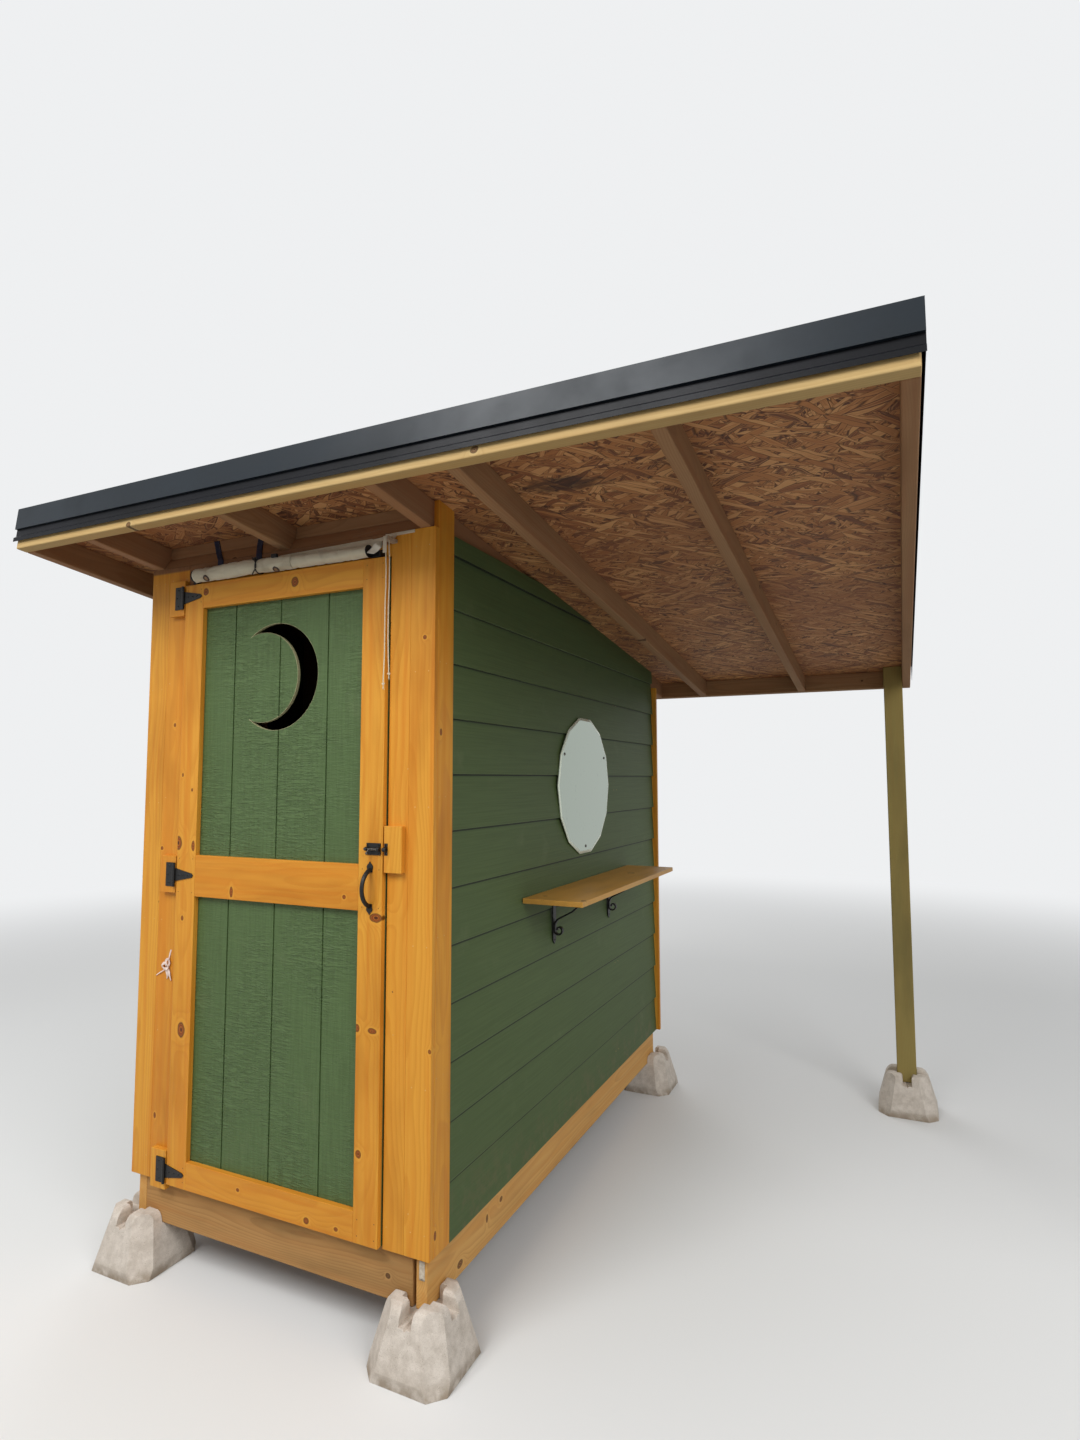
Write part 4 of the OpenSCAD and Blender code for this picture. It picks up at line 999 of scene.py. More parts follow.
blindLook = {  # millimetres
    "low": 254, "high": 1000, "back": -0.8, "foot": 2068,
    "radius": 24.4, "taper": 3.4, "taperFrom": 560, "taperTo": 940,
    "inner": 5, "turns": 9, "perTurn": 30, "columns": 168, "crumple": 2.4, "offBoard": 0.6, "slip": 4,
    "headerFrom": (254, 2122), "headerTo": (960, 2135), "headerRows": 7,
    "pale": (206, 197, 172), "dark": (158, 147, 120), "stain": (120, 104, 78),
    "lump": (455, 80, 3.0), "pinches": [(552, 16, 2.4), (984, 26, 2.0)],  # place along the roll, width and depth
    "creases": [(282, 0.6), (338, -0.9), (402, 0.7), (476, -0.6), (512, 0.9), (598, -1.0), (664, 0.5), (731, 1.2),
                (772, -0.8), (838, 0.9), (897, -0.6), (941, 0.8)],  # place along the roll, and lean
    "creaseWidth": 5.5, "creaseDepth": 2.6,
}
flapLook = {  # from and to: degrees round the roll
    "low": 257, "high": 703, "proud": 1.3, "from": 96, "to": 266, "round": 22, "trim": 26, "columns": 60, "rows": 26,
}
headerLook = {"low": 640, "wide": 396, "foot": 2104, "top": 2121, "rise": 11, "columns": 65, "rows": 6, "tall": 24}
clothThickness = 0.0007


def clothMaterial(name, pale, dark, stain, creaseSize=(14, 34, 1)):
    material, tree = newMaterial(name, 0.86, sheen=0.2)
    place = add(tree, "ShaderNodeUVMap", uv_map="cloth")
    weave = [calc("SINE", way * 5200) for way in split(place)[:2]]
    turned = stretched(place, creaseSize, 0.5)
    folds = fade(clouds(turned, 1.0, 4, 0.55, distortion=1.2, noise_type="RIDGED_MULTIFRACTAL"), 0.35, 0.8)
    # painted shade: the fold lines are coloured toward the dark colour
    color = mixed(folds, srgb(*pale), srgb(*dark))
    color = mixed(fade(clouds(place, (7, 11, 1), 3), 0.5, 0.75, 0, 0.55), color, srgb(*stain))
    dress(material, color=color, normal=relief(weave[0] + weave[1], 0.0001, 0.5, relief(folds, 0.004, 0.9)))
    return material


blindCloth = clothMaterial("blindCloth", blindLook["pale"], blindLook["dark"], blindLook["stain"])
tapeCloth = clothMaterial("tapeCloth", (206, 192, 168), (170, 154, 128), (136, 118, 94), (60, 90, 1))


def sheetGrid(rows):  # rows of points and their cloth coordinates, as one smooth open sheet
    mesh = bmesh.new()
    uv = mesh.loops.layers.uv.new("cloth")
    made = [[(mesh.verts.new(place), flat) for place, flat in row] for row in rows]
    for near, far in zip(made, made[1:]):
        for i in range(len(near) - 1):
            spots = (near[i], far[i], far[i + 1], near[i + 1])
            face = mesh.faces.new([vert for vert, flat in spots])
            face.smooth = True
            for loop, (vert, flat) in zip(face.loops, spots):
                loop[uv].uv = flat
    return mesh


def sheetOf(columns, rows, spot):  # spot: place and cloth coordinates for shares along and down the sheet
    return sheetGrid([[spot(i / columns, k / rows) for k in range(rows + 1)] for i in range(columns + 1)])


def thickened(mesh, thickness):
    bmesh.ops.recalc_face_normals(mesh, faces=mesh.faces[:])
    bmesh.ops.solidify(mesh, geom=mesh.faces[:], thickness=thickness)
    bmesh.ops.recalc_face_normals(mesh, faces=mesh.faces[:])
    return mesh


def together(parts):
    whole = bmesh.new()
    whole.loops.layers.uv.new("cloth")
    for part in parts:
        data = meshData(part, "part")
        whole.from_mesh(data)
        bpy.data.meshes.remove(data)
    return whole


def solidSheet(mesh, name, material, slot, thickness, flat, held, restsOn, *replaced):
    piece = finished(thickened(mesh, thickness), name, material, "house", slot, *replaced)
    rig.sheet(piece, flat=flat, held=held, rests_on=restsOn)


def hump(x, middle, width):
    return math.exp(-((x - middle) / width) ** 2)


def rollBulge(x, angle):  # how far the cloth stands off the round at a place, in millimetres
    look = blindLook
    spot = Vector((x * 0.011, math.cos(angle) * 1.2, math.sin(angle) * 1.2))
    bulge = noise.noise(spot) + 0.6 * noise.noise(spot * 2.6 + Vector((3, 1, 7))) + 0.25 * noise.noise(spot * 7)
    lumpAt, lumpWidth, lumpDepth = look["lump"]
    stands = look["crumple"] * (bulge - 0.45)
    stands += lumpDepth * hump(x, lumpAt, lumpWidth) * max(0.0, math.sin(angle - 0.35))
    for place, width, depth in look["pinches"]:
        stands -= depth * hump(x, place, width)
    for place, lean in look["creases"]:
        stands -= look["creaseDepth"] * hump(x, place + lean * 16 * math.sin(angle - 0.7), look["creaseWidth"])
    return stands


def rollRadius(x):
    look = blindLook
    share = min(max((x - look["taperFrom"]) / (look["taperTo"] - look["taperFrom"]), 0), 1)
    return look["radius"] - look["taper"] * share * share * (3 - 2 * share)


def onRoll(x, degrees, r):
    around, angle = rollRadius(x), math.radians(degrees)
    return at(x, blindLook["back"] - around + r * math.cos(angle), blindLook["foot"] + around + r * math.sin(angle))


def blindRow(x, edge):  # one line of the cloth, from the roll's heart out and up the wall; edge: -1 to 1 along the roll
    look = blindLook
    steps, wall = look["turns"] * look["perTurn"], corner.y - look["offBoard"] / 1000
    places = []
    for i in range(steps + 1):
        angle, share = 2 * math.pi * i / look["perTurn"], i / steps
        r = look["inner"] + (rollRadius(x) - look["inner"]) * share + rollBulge(x, angle) * share ** 3
        slip = look["slip"] * noise.noise(Vector((angle * 0.21, 0, 4))) * math.copysign(abs(edge) ** 6, edge)
        place = onRoll(x + slip, math.degrees(angle), r)
        place.y = min(place.y, wall)
        places.append(place)
    (fromX, fromZ), (toX, toZ) = look["headerFrom"], look["headerTo"]
    top = at(0, 0, fromZ + (toZ - fromZ) * min((x - fromX) / (toX - fromX), 1)).z
    start = places[-1]
    for k in range(1, look["headerRows"] + 1):
        wave = 0.0005 * (1 + math.sin(x * 0.05 + k * 0.8))
        places.append(Vector((start.x, wall - wave, start.z + (top - start.z) * k / look["headerRows"])))
    row, run = [], 0.0
    for last, place in zip([places[0]] + places, places):
        run += (place - last).length
        row.append((place, (x / 1000, run)))
    return row


def blindPiece():
    look = blindLook
    shares = [c / look["columns"] for c in range(look["columns"] + 1)]
    rows = [blindRow(look["low"] + (look["high"] - look["low"]) * share, 2 * share - 1) for share in shares]
    length = max(row[-1][1][1] for row in rows)
    piece = finished(sheetGrid(rows), "rolled-blind-cloth", blindCloth, "house", "blind_cloth", "rolled_blind")
    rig.sheet(piece, flat=((look["high"] - look["low"]) / 1000, length), held="hung", rests_on=["door_casing"])
    print("blind length", round(length, 3))


def blindFlap():  # the last turn's end, with round corners, lying over the left part of the roll
    look = flapLook
    sweep = look["to"] - look["from"]

    def spot(u, v):
        x = look["low"] + (look["high"] - look["low"]) * u
        over = max(0.0, (x - look["high"] + look["round"]) / look["round"])
        trim = look["trim"] * (1 - math.sqrt(max(0.0, 1 - over * over)))
        degrees = look["from"] + trim + (sweep - 1.3 * trim) * v
        wave = 0.0
        if v * look["rows"] < 2.5:
            wave = 1.6 * noise.noise(Vector((x * 0.03, 9, 1)))
        elif (1 - v) * look["rows"] < 2.5:
            wave = 0.9 * math.sin(x * 0.021 + 1)
        angle = math.radians(degrees)
        r = rollRadius(x) + rollBulge(x, angle) + look["proud"] + wave
        return onRoll(x, degrees, r), (x / 1000, 0.4 + angle * blindLook["radius"] / 1000)

    flat = ((look["high"] - look["low"]) / 1000, math.radians(sweep) * blindLook["radius"] / 1000)
    mesh = sheetOf(look["columns"], look["rows"], spot)
    solidSheet(mesh, "blind-flap", blindCloth, "blind_cloth", clothThickness, flat, "hung", ["rolled-blind-cloth"])


def headerCloth():  # the cloth's own upper edge, fixed behind the roll and showing over its right part
    look = headerLook

    def spot(u, v):
        x = look["low"] + look["wide"] * u
        top = look["top"] + look["rise"] * min(u / 0.8, 1) + 0.7 * math.sin(x * 0.11)
        z = look["foot"] + (top - look["foot"]) * v
        pucker = 0.7 + 1.1 * abs(noise.noise(Vector((x * 0.03, z * 0.05, 4))))
        pucker += 0.8 * math.sin(x * 0.045 + v * look["rows"]) ** 2
        return at(x, -0.8 - pucker, z), (x / 1000, z / 1000)

    mesh = sheetOf(look["columns"], look["rows"], spot)
    flat = (look["wide"] / 1000, look["tall"] / 1000)
    solidSheet(mesh, "blind-header-cloth", blindCloth, "blind_cloth", clothThickness, flat, "hung", ["door_casing"])


blindPiece()
blindFlap()
headerCloth()


# webbing, tapes and what else holds the blind

def band(line, across, count=6):  # a strip of cloth along points; across: from its left edge to its right, mm
    runs = [lineLength(line[:k + 1]) for k in range(len(line))]
    wide, side = Vector(across).length, Vector(across)
    return sheetGrid([
        [(at(*(point + side * i / count)), (i / count * wide / 1000, run / 1000)) for point, run in zip(line, runs)]
        for i in range(count + 1)
    ])


webbingLook = {"base": srgb(34, 36, 66), "other": srgb(22, 22, 40), "width": 26, "thickness": 0.0013, "ribs": 1500}
strapLook = {
    "lefts": (273, 490), "leans": (18, -19),  # left edge at the top, and how far each strap then leans aside
    "stands": 28.6, "drift": 1.23,  # a strap drifts to the right too as it comes forward
    "side": [(28.6, 2231, 0), (23.4, 2190, 0.54), (13.2, 2172, 0.73), (5.0, 2158, 0.88),
             (-2.4, 2147, 1), (-2.6, 2132, 1), (-4.2, 2118, 1), (-6.5, 2110, 1)],  # y, z and share of the lean
}


def webbingMaterial():
    look = webbingLook
    material, tree = newMaterial("darkWebbing", 0.8)
    place = add(tree, "ShaderNodeUVMap", uv_map="cloth")
    x, y, _ = split(place)
    color = mixed(fade(clouds(place, (60, 30, 1), 3), 0.35, 0.7), look["base"], look["other"])
    ribs = calc("SINE", x * (look["ribs"] * 2)) + calc("SINE", y * look["ribs"]) * 0.7
    dress(material, color=color, normal=relief(ribs, 0.0003, 0.8))
    return material


def strapSpot(left, lean, share, y, z):
    return Vector((left + lean * share + strapLook["drift"] * (strapLook["stands"] - y), y, z))


def webbingStraps():
    parts, long = [], 0.0
    for left, lean in zip(strapLook["lefts"], strapLook["leans"]):
        line = dense([strapSpot(left, lean, share, y, z) for y, z, share in strapLook["side"]], 7)
        parts.append(thickened(band(line, (webbingLook["width"], 0, 0)), webbingLook["thickness"]))
        long += lineLength(line) / 2000
    straps = together(parts)
    bmesh.ops.recalc_face_normals(straps, faces=straps.faces[:])
    straps = finished(straps, "blind-webbing-straps", webbingMaterial(), "house", "strap_cloth", "blind_fixings")
    wide = len(parts) * webbingLook["width"] / 1000
    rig.sheet(straps, flat=(wide, long), held="hung", rests_on=["wall_blocking", "door_casing"])


webbingStraps()
tapeRows = [  # name, points, from the left edge to the right, thickness, steps, held, rests on
    ("header-tape", [(640, -1.9, 2110), (760, -1.9, 2112), (900, -2.2, 2116), (1000, -2.6, 2121), (1058, -2.2, 2126)],
     (0, 0, 11), 0.0008, 8, "stretched", ["rolled-blind-cloth", "door_casing"]),
    ("header-tape-end", [(1050, -1.0, 2134), (1062, -1.2, 2133), (1100, -1.2, 2134), (1160, -1.0, 2135)],
     (0, 0, 10), 0.0007, 6, "stretched", ["door_casing"]),
    ("cord-tape-end", [(1079, y, z) for y, z in (
        (-1.2, 2141), (-6, 2128), (-20, 2121.4), (-46, 2121.2), (-53.4, 2114), (-54, 2090), (-53.6, 2066),
    )], (14, 0, 0), 0.0007, 6, "hung", ["door_casing"]),
]
for name, points, across, thickness, steps, held, restsOn in tapeRows:
    line = dense(points, steps)
    flat = (max(across) / 1000, lineLength(line) / 1000)
    solidSheet(band(line, across), name, tapeCloth, "blind_cloth", thickness, flat, held, restsOn)

tabLook = {
    "corners": [(1002, -33, 2081), (1038, -35, 2110), (1060, -33, 2091), (1032, -36, 2073)], "size": (0.046, 0.03),
    "pale": (222, 214, 196), "dark": (186, 176, 156), "stain": (160, 148, 128), "thickness": 0.0009,
}


def whiteTab():  # a white scrap folded over the roll's right end
    a, b, c, d = [Vector(place) for place in tabLook["corners"]]
    wide, tall = tabLook["size"]

    def spot(u, v):
        place = (a * (1 - u) + b * u) * (1 - v) + (d * (1 - u) + c * u) * v
        place.y += 5 * math.sin(math.pi * v) * (0.3 - u) - 1.5 * math.cos(u * 7)
        return at(*place), (u * wide, v * tall)

    scrap = clothMaterial("whiteScrap", tabLook["pale"], tabLook["dark"], tabLook["stain"], (60, 60, 1))
    thickness, restsOn = tabLook["thickness"], ["rolled-blind-cloth"]
    solidSheet(sheetOf(8, 6, spot), "white-tab", scrap, "blind_cloth", thickness, (wide, tall), "folded", restsOn)


whiteTab()


def solids(name, material, shapes, ease=0.0006):  # boxes and rounds in mm: low, high or middle, radius, length along x
    mesh = bmesh.new()
    for shape in shapes:
        if len(shape) == 2:
            low, high = at(*shape[0]), at(*shape[1])
            place = Matrix.Translation((low + high) / 2) @ Matrix.Diagonal((*(high - low), 1))
            made = bmesh.ops.create_cube(mesh, size=1, matrix=place)
        else:
            middle, radius, length = shape
            place = Matrix.Translation(at(*middle)) @ Matrix.Rotation(math.pi / 2, 4, "Y")
            sizes = {"radius1": radius / 1000, "radius2": radius / 1000, "depth": length / 1000}
            made = bmesh.ops.create_cone(mesh, cap_ends=True, segments=28, matrix=place, **sizes)
        own = set(made["verts"])
        edges = [edge for edge in mesh.edges if edge.verts[0] in own and edge.calc_face_angle(0) > 0.6]
        bmesh.ops.bevel(mesh, geom=edges, offset=ease, segments=2, profile=0.5, affect="EDGES", clamp_overlap=True)
    return finished(mesh, name, material, "house", "black_iron")


solids("blind-hangers", metal["blackIron"], [
    ((1003.5, -21.8, 2089), 20.5, 3), ((1005, -13, 2070.5), (1049, -0.5, 2091)),
    ((1046, -27, 2070.5), (1049, -12, 2084)), ((248, -25.2, 2092.4), 22.5, 3), ((223, -12, 2069), (238.5, -0.5, 2086)),
])
solids("tie-clip", metal["blackIron"], [((621, -49, 2109), (645, -39, 2121))], 0.0012)
paleGuide = mottled("paleGuide", srgb(176, 160, 140), srgb(146, 128, 108), 70, 4, (0.35, 0.7), bump=0.0006)
solids("cord-guide", paleGuide, [((1076, -50, 2108.3), (1096, -0.5, 2120))], 0.0015)

filletLook = {
    "profile": [(1, 2146.4), (29.2, 2146.4), (27.2, 2186), (25.2, 2186)], "gap": 0.0006, "tone": 0.7,
    "reachY": 120, "reachX": (60, 1200),
}


def topFillets():  # sloped strips between the rafters that close the wall's top over the head board
    look = filletLook
    mesh = easedMesh("wall_blocking", 0)
    strips = bmesh.new()
    grain, tone = strips.verts.layers.float_vector.new("grainPlace"), strips.verts.layers.float.new("boardTone")
    for group in islands(mesh):
        low, high = reach([vert.co for vert in group])
        leftEnd, rightEnd = [at(x, look["reachY"], 0) for x in look["reachX"]]
        if low.y >= leftEnd.y or high.x <= leftEnd.x or low.x >= rightEnd.x:
            continue
        ends = []
        for x in (low.x + look["gap"], high.x - look["gap"]):
            loop = []
            for y, z in look["profile"]:
                place = at(0, y, z)
                vert = strips.verts.new((x, place.y, place.z))
                vert[grain] = (z / 1000, 0.05 + y / 1000, x)
                vert[tone] = look["tone"]
                loop.append(vert)
            ends.append(loop)
        ringWalls(strips, ends)
        for loop in ends:
            strips.faces.new(loop)
    mesh.free()
    bmesh.ops.recalc_face_normals(strips, faces=strips.faces[:])
    finished(strips, "wall-top-fillets", wood["framing"], "house", "raw_lumber")


topFillets()
tieLook = {  # places: along the roll, degrees round it, distance from its axis
    "at": 552, "radius": 24, "color": srgb(30, 24, 22), "other": srgb(18, 15, 14),
    "knotAt": (548, 134, 28), "knot": 0.0085,
    "tail": [(548, 136, 29.5), (556, 160, 28.5), (560, 190, 28), (552, 214, 29.5), (540, 232, 31.5), (535, 240, 34)],
    "short": [(548, 132, 29.5), (538, 128, 33), (530, 118, 34)],
    "strand": {"Strand radius": 0.00105, "Strand offset": 0.0011, "Lay": 0.03, "Step": 0.002, "Seed": 21},
}


def blindTie():
    look = tieLook
    turn = [100 + 8 * i for i in range(41)]
    loop = [onRoll(look["at"] + 3 * math.sin(math.radians(a)), a, look["radius"]) for a in turn]
    lines = [loop, trefoil(onRoll(*look["knotAt"]), look["knot"], 1.0)]
    lines += [[onRoll(*spot) for spot in look[end]] for end in ("tail", "short")]
    fibre = fibreMaterial("tieFibre", look["color"], look["other"], 0.6)
    strands("blind-tie", fibre, "cord_fibre", lines, **look["strand"])


blindTie()
eyeletLook = {
    "spots": [(320, 227), (634, 243)],  # place along the roll, degrees round it
    "profile": ((12.2, -1.6), (12.2, 0.6), (10.8, 1.8), (8.0, 1.8), (6.8, 0.9), (6.8, 0.2)), "sides": 28, "proud": 1.4,
    "rim": (srgb(38, 25, 19), srgb(70, 46, 33)), "hole": (srgb(162, 130, 96), srgb(122, 92, 64)), "bend": 56,
}


def eyelets():  # pressed metal rings with a plug of shadow inside
    look = eyeletLook
    rim = mottled("eyeletRim", *look["rim"], 500, 3, shine=(0.3, 0.6), metallic=0.2)
    hole = mottled("eyeletHole", *look["hole"], 300, 3, roughness=0.9)
    circle = [2 * math.pi * i / look["sides"] for i in range(look["sides"])]
    mesh = bmesh.new()
    for x, degrees in look["spots"]:
        angle = math.radians(degrees)
        out, side = Vector((0, math.cos(angle), math.sin(angle))), Vector((1, 0, 0))
        up = Vector((0, -math.sin(angle), math.cos(angle)))
        middle = onRoll(x, degrees, rollRadius(x) + rollBulge(x, angle) + flapLook["proud"] + look["proud"])
        loops = []
        for r, lift in look["profile"]:
            offsets = [(r * math.cos(a), r * math.sin(a)) for a in circle]
            places = [middle + (side * a + up * b + out * (lift - b * b / look["bend"])) / 1000 for a, b in offsets]
            loops.append([mesh.verts.new(place) for place in places])
        ringWalls(mesh, loops, smooth=True)
        mesh.faces.new(loops[-1]).material_index = 1
        mesh.faces.new(list(reversed(loops[0]))).material_index = 1
    bmesh.ops.recalc_face_normals(mesh, faces=mesh.faces[:])
    return finished(mesh, "blind-eyelets", [rim, hole], "house", "bolt_steel")


eyelets()
print("blind rolled and tied")


# small fastenings, made by one tree and set on points that carry their facing and heading

def cone(inputs, foot, top, height, sides):
    radius = inputs["Radius"]
    values = {"Radius Bottom": radius * foot, "Radius Top": radius * top, "Depth": inputs[height], "Vertices": sides}
    return add(radius.tree, "GeometryNodeMeshCone", values, "Mesh")


def screwHead(inputs):  # a cross is cut out of a cone
    cut = node(inputs["Radius"].tree, "GeometryNodeMeshBoolean", operation="DIFFERENCE", solver="EXACT")
    feed(cut.inputs["Mesh 1"], cone(inputs, 1, 0.62, "Height", 16))
    long, thin = inputs["Radius"] * 1.05, inputs["Recess"]
    for x, y in ((long, thin), (thin, long)):
        bar = add(long.tree, "GeometryNodeMeshCube", {"Size": combined(x, y, inputs["Recess"] * 2)}, "Mesh")
        lifted = {"Geometry": bar, "Translation": combined(z=inputs["Height"])}
        feed(cut.inputs["Mesh 2"], add(long.tree, "GeometryNodeTransform", lifted))
    return Signal(cut.outputs["Mesh"])


def roofScrew(inputs):  # a hexagon head over a washer
    both = node(inputs["Radius"].tree, "GeometryNodeJoinGeometry")
    feed(both.inputs[0], cone(inputs, 1, 0.86, "Recess", 18))
    feed(both.inputs[0], cone(inputs, 0.62, 0.56, "Height", 6))
    return Signal(both.outputs[0])


def ball(radius, segments, scale):
    values = {"Radius": radius, "Segments": segments, "Rings": 6}
    whole = add(radius.tree, "GeometryNodeMeshUVSphere", values, "Mesh")
    return add(radius.tree, "GeometryNodeTransform", {"Geometry": whole, "Scale": scale})


def roundHead(inputs):
    return ball(inputs["Radius"], 10, combined(1.0, 1.0, inputs["Height"] / inputs["Radius"]))


def stitch(inputs):  # a rounded bar along the heading
    return ball(inputs["Recess"], 8, combined(inputs["Radius"] / inputs["Recess"], 1.0, 0.8))


def fasteningTree(shape, material):
    sizes = {"Radius": 0.004, "Height": 0.0016, "Recess": 0.0012, "Spin": 1.0, "Seed": 7}
    tree, inputs = newTree("fastenings", sizes)
    head = shape(inputs)
    kind, settings = "GeometryNodeInputNamedAttribute", {"data_type": "FLOAT_VECTOR"}
    facing, heading = [add(tree, kind, {"Name": name}, **settings) for name in ("facing", "heading")]
    turn = add(tree, "FunctionNodeAlignRotationToVector", {"Vector": facing}, axis="Z")
    turn = {"Rotation": turn, "Vector": heading}
    turn = add(tree, "FunctionNodeAlignRotationToVector", turn, axis="X", pivot_axis="Z")
    spin = add(tree, "FunctionNodeRandomValue", {"Seed": inputs["Seed"], 2: 0.0, 3: math.pi}, 1, data_type="FLOAT")
    twist = add(tree, "FunctionNodeEulerToRotation", {0: combined(z=spin * inputs["Spin"])})
    turn = add(tree, "FunctionNodeRotateRotation", {0: turn, 1: twist}, rotation_space="LOCAL")
    placed = {"Points": inputs["Geometry"], "Instance": head, "Rotation": turn}
    return closeTree(add(tree, "GeometryNodeInstanceOnPoints", placed), material)


def fastenings(name, shape, body, slot, material, spots, **sizes):  # spots: place in mm, facing, perhaps heading
    data = bpy.data.meshes.new(name + "-points")
    data.from_pydata([at(*spot[0]) for spot in spots], [], [])
    for label, index in (("facing", 1), ("heading", 2)):
        values = data.attributes.new(label, "FLOAT_VECTOR", "POINT")
        for item, spot in zip(values.data, spots):
            item.vector = spot[index] if len(spot) > index else outward
    return run(name, fasteningTree(shape, material), data, sizes, body, slot)


hardwareLook = {  # places in mm
    "hinges": (50.5, 1043, 2021.5), "plateScrews": ((162, 29), (162, -29), (155, 0)), "plateFace": -21.5,
    "strapScrews": (211, 233, 255), "strapFace": -21.8, "bolt": 1162, "boltApart": (-13, 13),
    "keeper": 1081, "keeperFace": -20.2, "guide": (1015, 1057), "brackets": (880, 1510),
    "legScrews": (900, 742), "legFace": 1240, "armScrews": (1262, 1419), "armFace": 918,
    "mirror": ((981, 1476), (1448, 1470), (1212, 1082)), "mirrorFace": 1242.2,
}


def hardwareScrews():
    look = hardwareLook
    plate, strap, keeper, leg = [look[name] for name in ("plateFace", "strapFace", "keeperFace", "legFace")]
    house = [((x, plate, z + dz), front, upright) for z in look["hinges"] for x, dz in look["plateScrews"]]
    door = [((x, strap, z), front, upright) for z in look["hinges"] for x in look["strapScrews"]]
    house += [((look["keeper"], keeper, look["bolt"] + dz), front, upright) for dz in look["boltApart"]]
    door += [((x, plate, look["bolt"] + dz), front, upright) for x in look["guide"] for dz in look["boltApart"]]
    for y in look["brackets"]:
        house += [((leg, y, z), outward, upright) for z in look["legScrews"]]
        house += [((x, y, look["armFace"]), down) for x in look["armScrews"]]
    fastenings("door-hardware-screws", screwHead, "door", "black_iron", metal["blackIron"], door)
    fastenings("house-hardware-screws", screwHead, "house", "black_iron", metal["blackIron"], house)
    spots = [((look["mirrorFace"], y, z), outward, upright) for y, z in look["mirror"]]
    fastenings("mirror-screws", screwHead, "house", "bolt_steel", metal["boltSteel"], spots, Radius=0.007, Height=0.003)
    return len(house) + len(door)


bradLook = {
    "putty": srgb(224, 188, 120), "other": srgb(196, 150, 86), "old": srgb(92, 56, 26), "oldDark": srgb(60, 38, 20),
    "single": ((1101.6, 614.6), (1144, 1404.4), (1161.9, 118.8), (1085.5, 65.1)),
    "corners": ((20, 68, 1168, 1216), (70, 474, 880, 1290, 1700, 2090)),  # across and up
    "jamb": ((106, 176), (89, 499, 879, 1309, 1719, 2097)), "side": ((30, 66, 1600, 1640), (90, 500, 905, 1320, 1730)),
    "leaf": ((207, 272, 994, 1056), (28, 74, 985, 1100, 2000, 2046)), "leafFace": -19, "sideFace": 1236,
    "oldNail": (1097.8, 0, 739.2),
}


def brads():
    look = bradLook
    putty = mottled("nailPutty", look["putty"], look["other"], 400, 2, (0.3, 0.7), roughness=0.7)
    rusty = mottled("oldNail", look["old"], look["oldDark"], 400, 2, (0.3, 0.7), roughness=0.7)
    spots = [((x, 0, z), front) for x, z in look["single"]]
    spots += [((x + 3 * math.sin(z), 0, z), front) for x in look["corners"][0] for z in look["corners"][1]]
    spots += [((x, 0, z), front) for x in look["jamb"][0] for z in look["jamb"][1]]
    spots += [((look["sideFace"], y, z), outward) for y in look["side"][0] for z in look["side"][1]]
    leaf = [((x, look["leafFace"], z), front) for x in look["leaf"][0] for z in look["leaf"][1]]
    rows = [  # name, body, material, spots, radius, height
        ("casing-brads", "house", putty, spots, 0.0017, 0.00045), ("door-brads", "door", rusty, leaf, 0.0016, 0.0004),
        ("old-nail", "house", rusty, [(look["oldNail"], front)], 0.0024, 0.0004),
    ]
    for name, body, material, places, radius, height in rows:
        fastenings(name, roundHead, body, "stained_pine", material, places, Radius=radius, Height=height)
    return len(spots)


roofScrewLook = {"first": -268, "ribPitch": 233.25, "ribs": 13, "rows": (-150, 330, 860, 1390, 1920, 2430)}


def roofScrews():
    look, spots = roofScrewLook, []
    for rib in range(look["ribs"]):
        for y in look["rows"]:
            above = at(look["first"] + rib * look["ribPitch"], y, 2700)
            hit, place, normal, _ = nodes["roof_panels"].ray_cast(above, Vector(down))
            if hit:
                spots.append((tuple((place - corner) * 1000), tuple(normal)))
    sizes = {"Radius": 0.0075, "Height": 0.006, "Recess": 0.0015}
    fastenings("roof-screws", roofScrew, "house", "roof_metal", metal["roofMetal"], spots, **sizes)
    return len(spots)


threadLook = {
    "pale": srgb(180, 166, 140), "dark": srgb(130, 116, 96),
    "inset": 2.5, "first": 5, "apart": 5, "rows": 8, "fixed": 41,
    "staples": 14, "stapleFrom": (921, 5.4, 2154.4), "stapleStep": (7.7, 0.6, 1),
}


def threadAndStaples():
    look, spots = threadLook, []
    for left, lean in zip(strapLook["lefts"], strapLook["leans"]):
        for side in (look["inset"], webbingLook["width"] - look["inset"]):
            top, foot = [strapSpot(left + side, lean, share, y, z) for y, z, share in strapLook["side"][:2]]
            for k in range(look["rows"]):
                place = top.lerp(foot, (look["first"] + look["apart"] * k) / look["fixed"])
                spots.append((place + Vector(front), (0, -1, 0.11), (0, 0.11, 1)))
    thread = mottled("paleThread", look["pale"], look["dark"], 900, 2, roughness=0.8)
    sizes = {"Radius": 0.0016, "Recess": 0.0004, "Spin": 0.0}
    fastenings("strap-stitches", stitch, "house", "cord_fibre", thread, spots, **sizes)
    start, step = Vector(look["stapleFrom"]), Vector(look["stapleStep"])
    staples = [(start + step * k, (0, -0.85, 0.53), (0.3, 0.53, 0.85)) for k in range(look["staples"])]
    sizes = {"Radius": 0.0025, "Recess": 0.0009, "Spin": 0.1}
    fastenings("header-staples", stitch, "house", "bolt_steel", thread, staples, **sizes)


screwCount, bradCount, roofCount = hardwareScrews(), brads(), roofScrews()
threadAndStaples()
print("fastenings set:", screwCount, "screws,", bradCount, "brads,", roofCount, "roof screws")


# a bare tag on the side rim's end, and the knotted ribbon on the left jamb

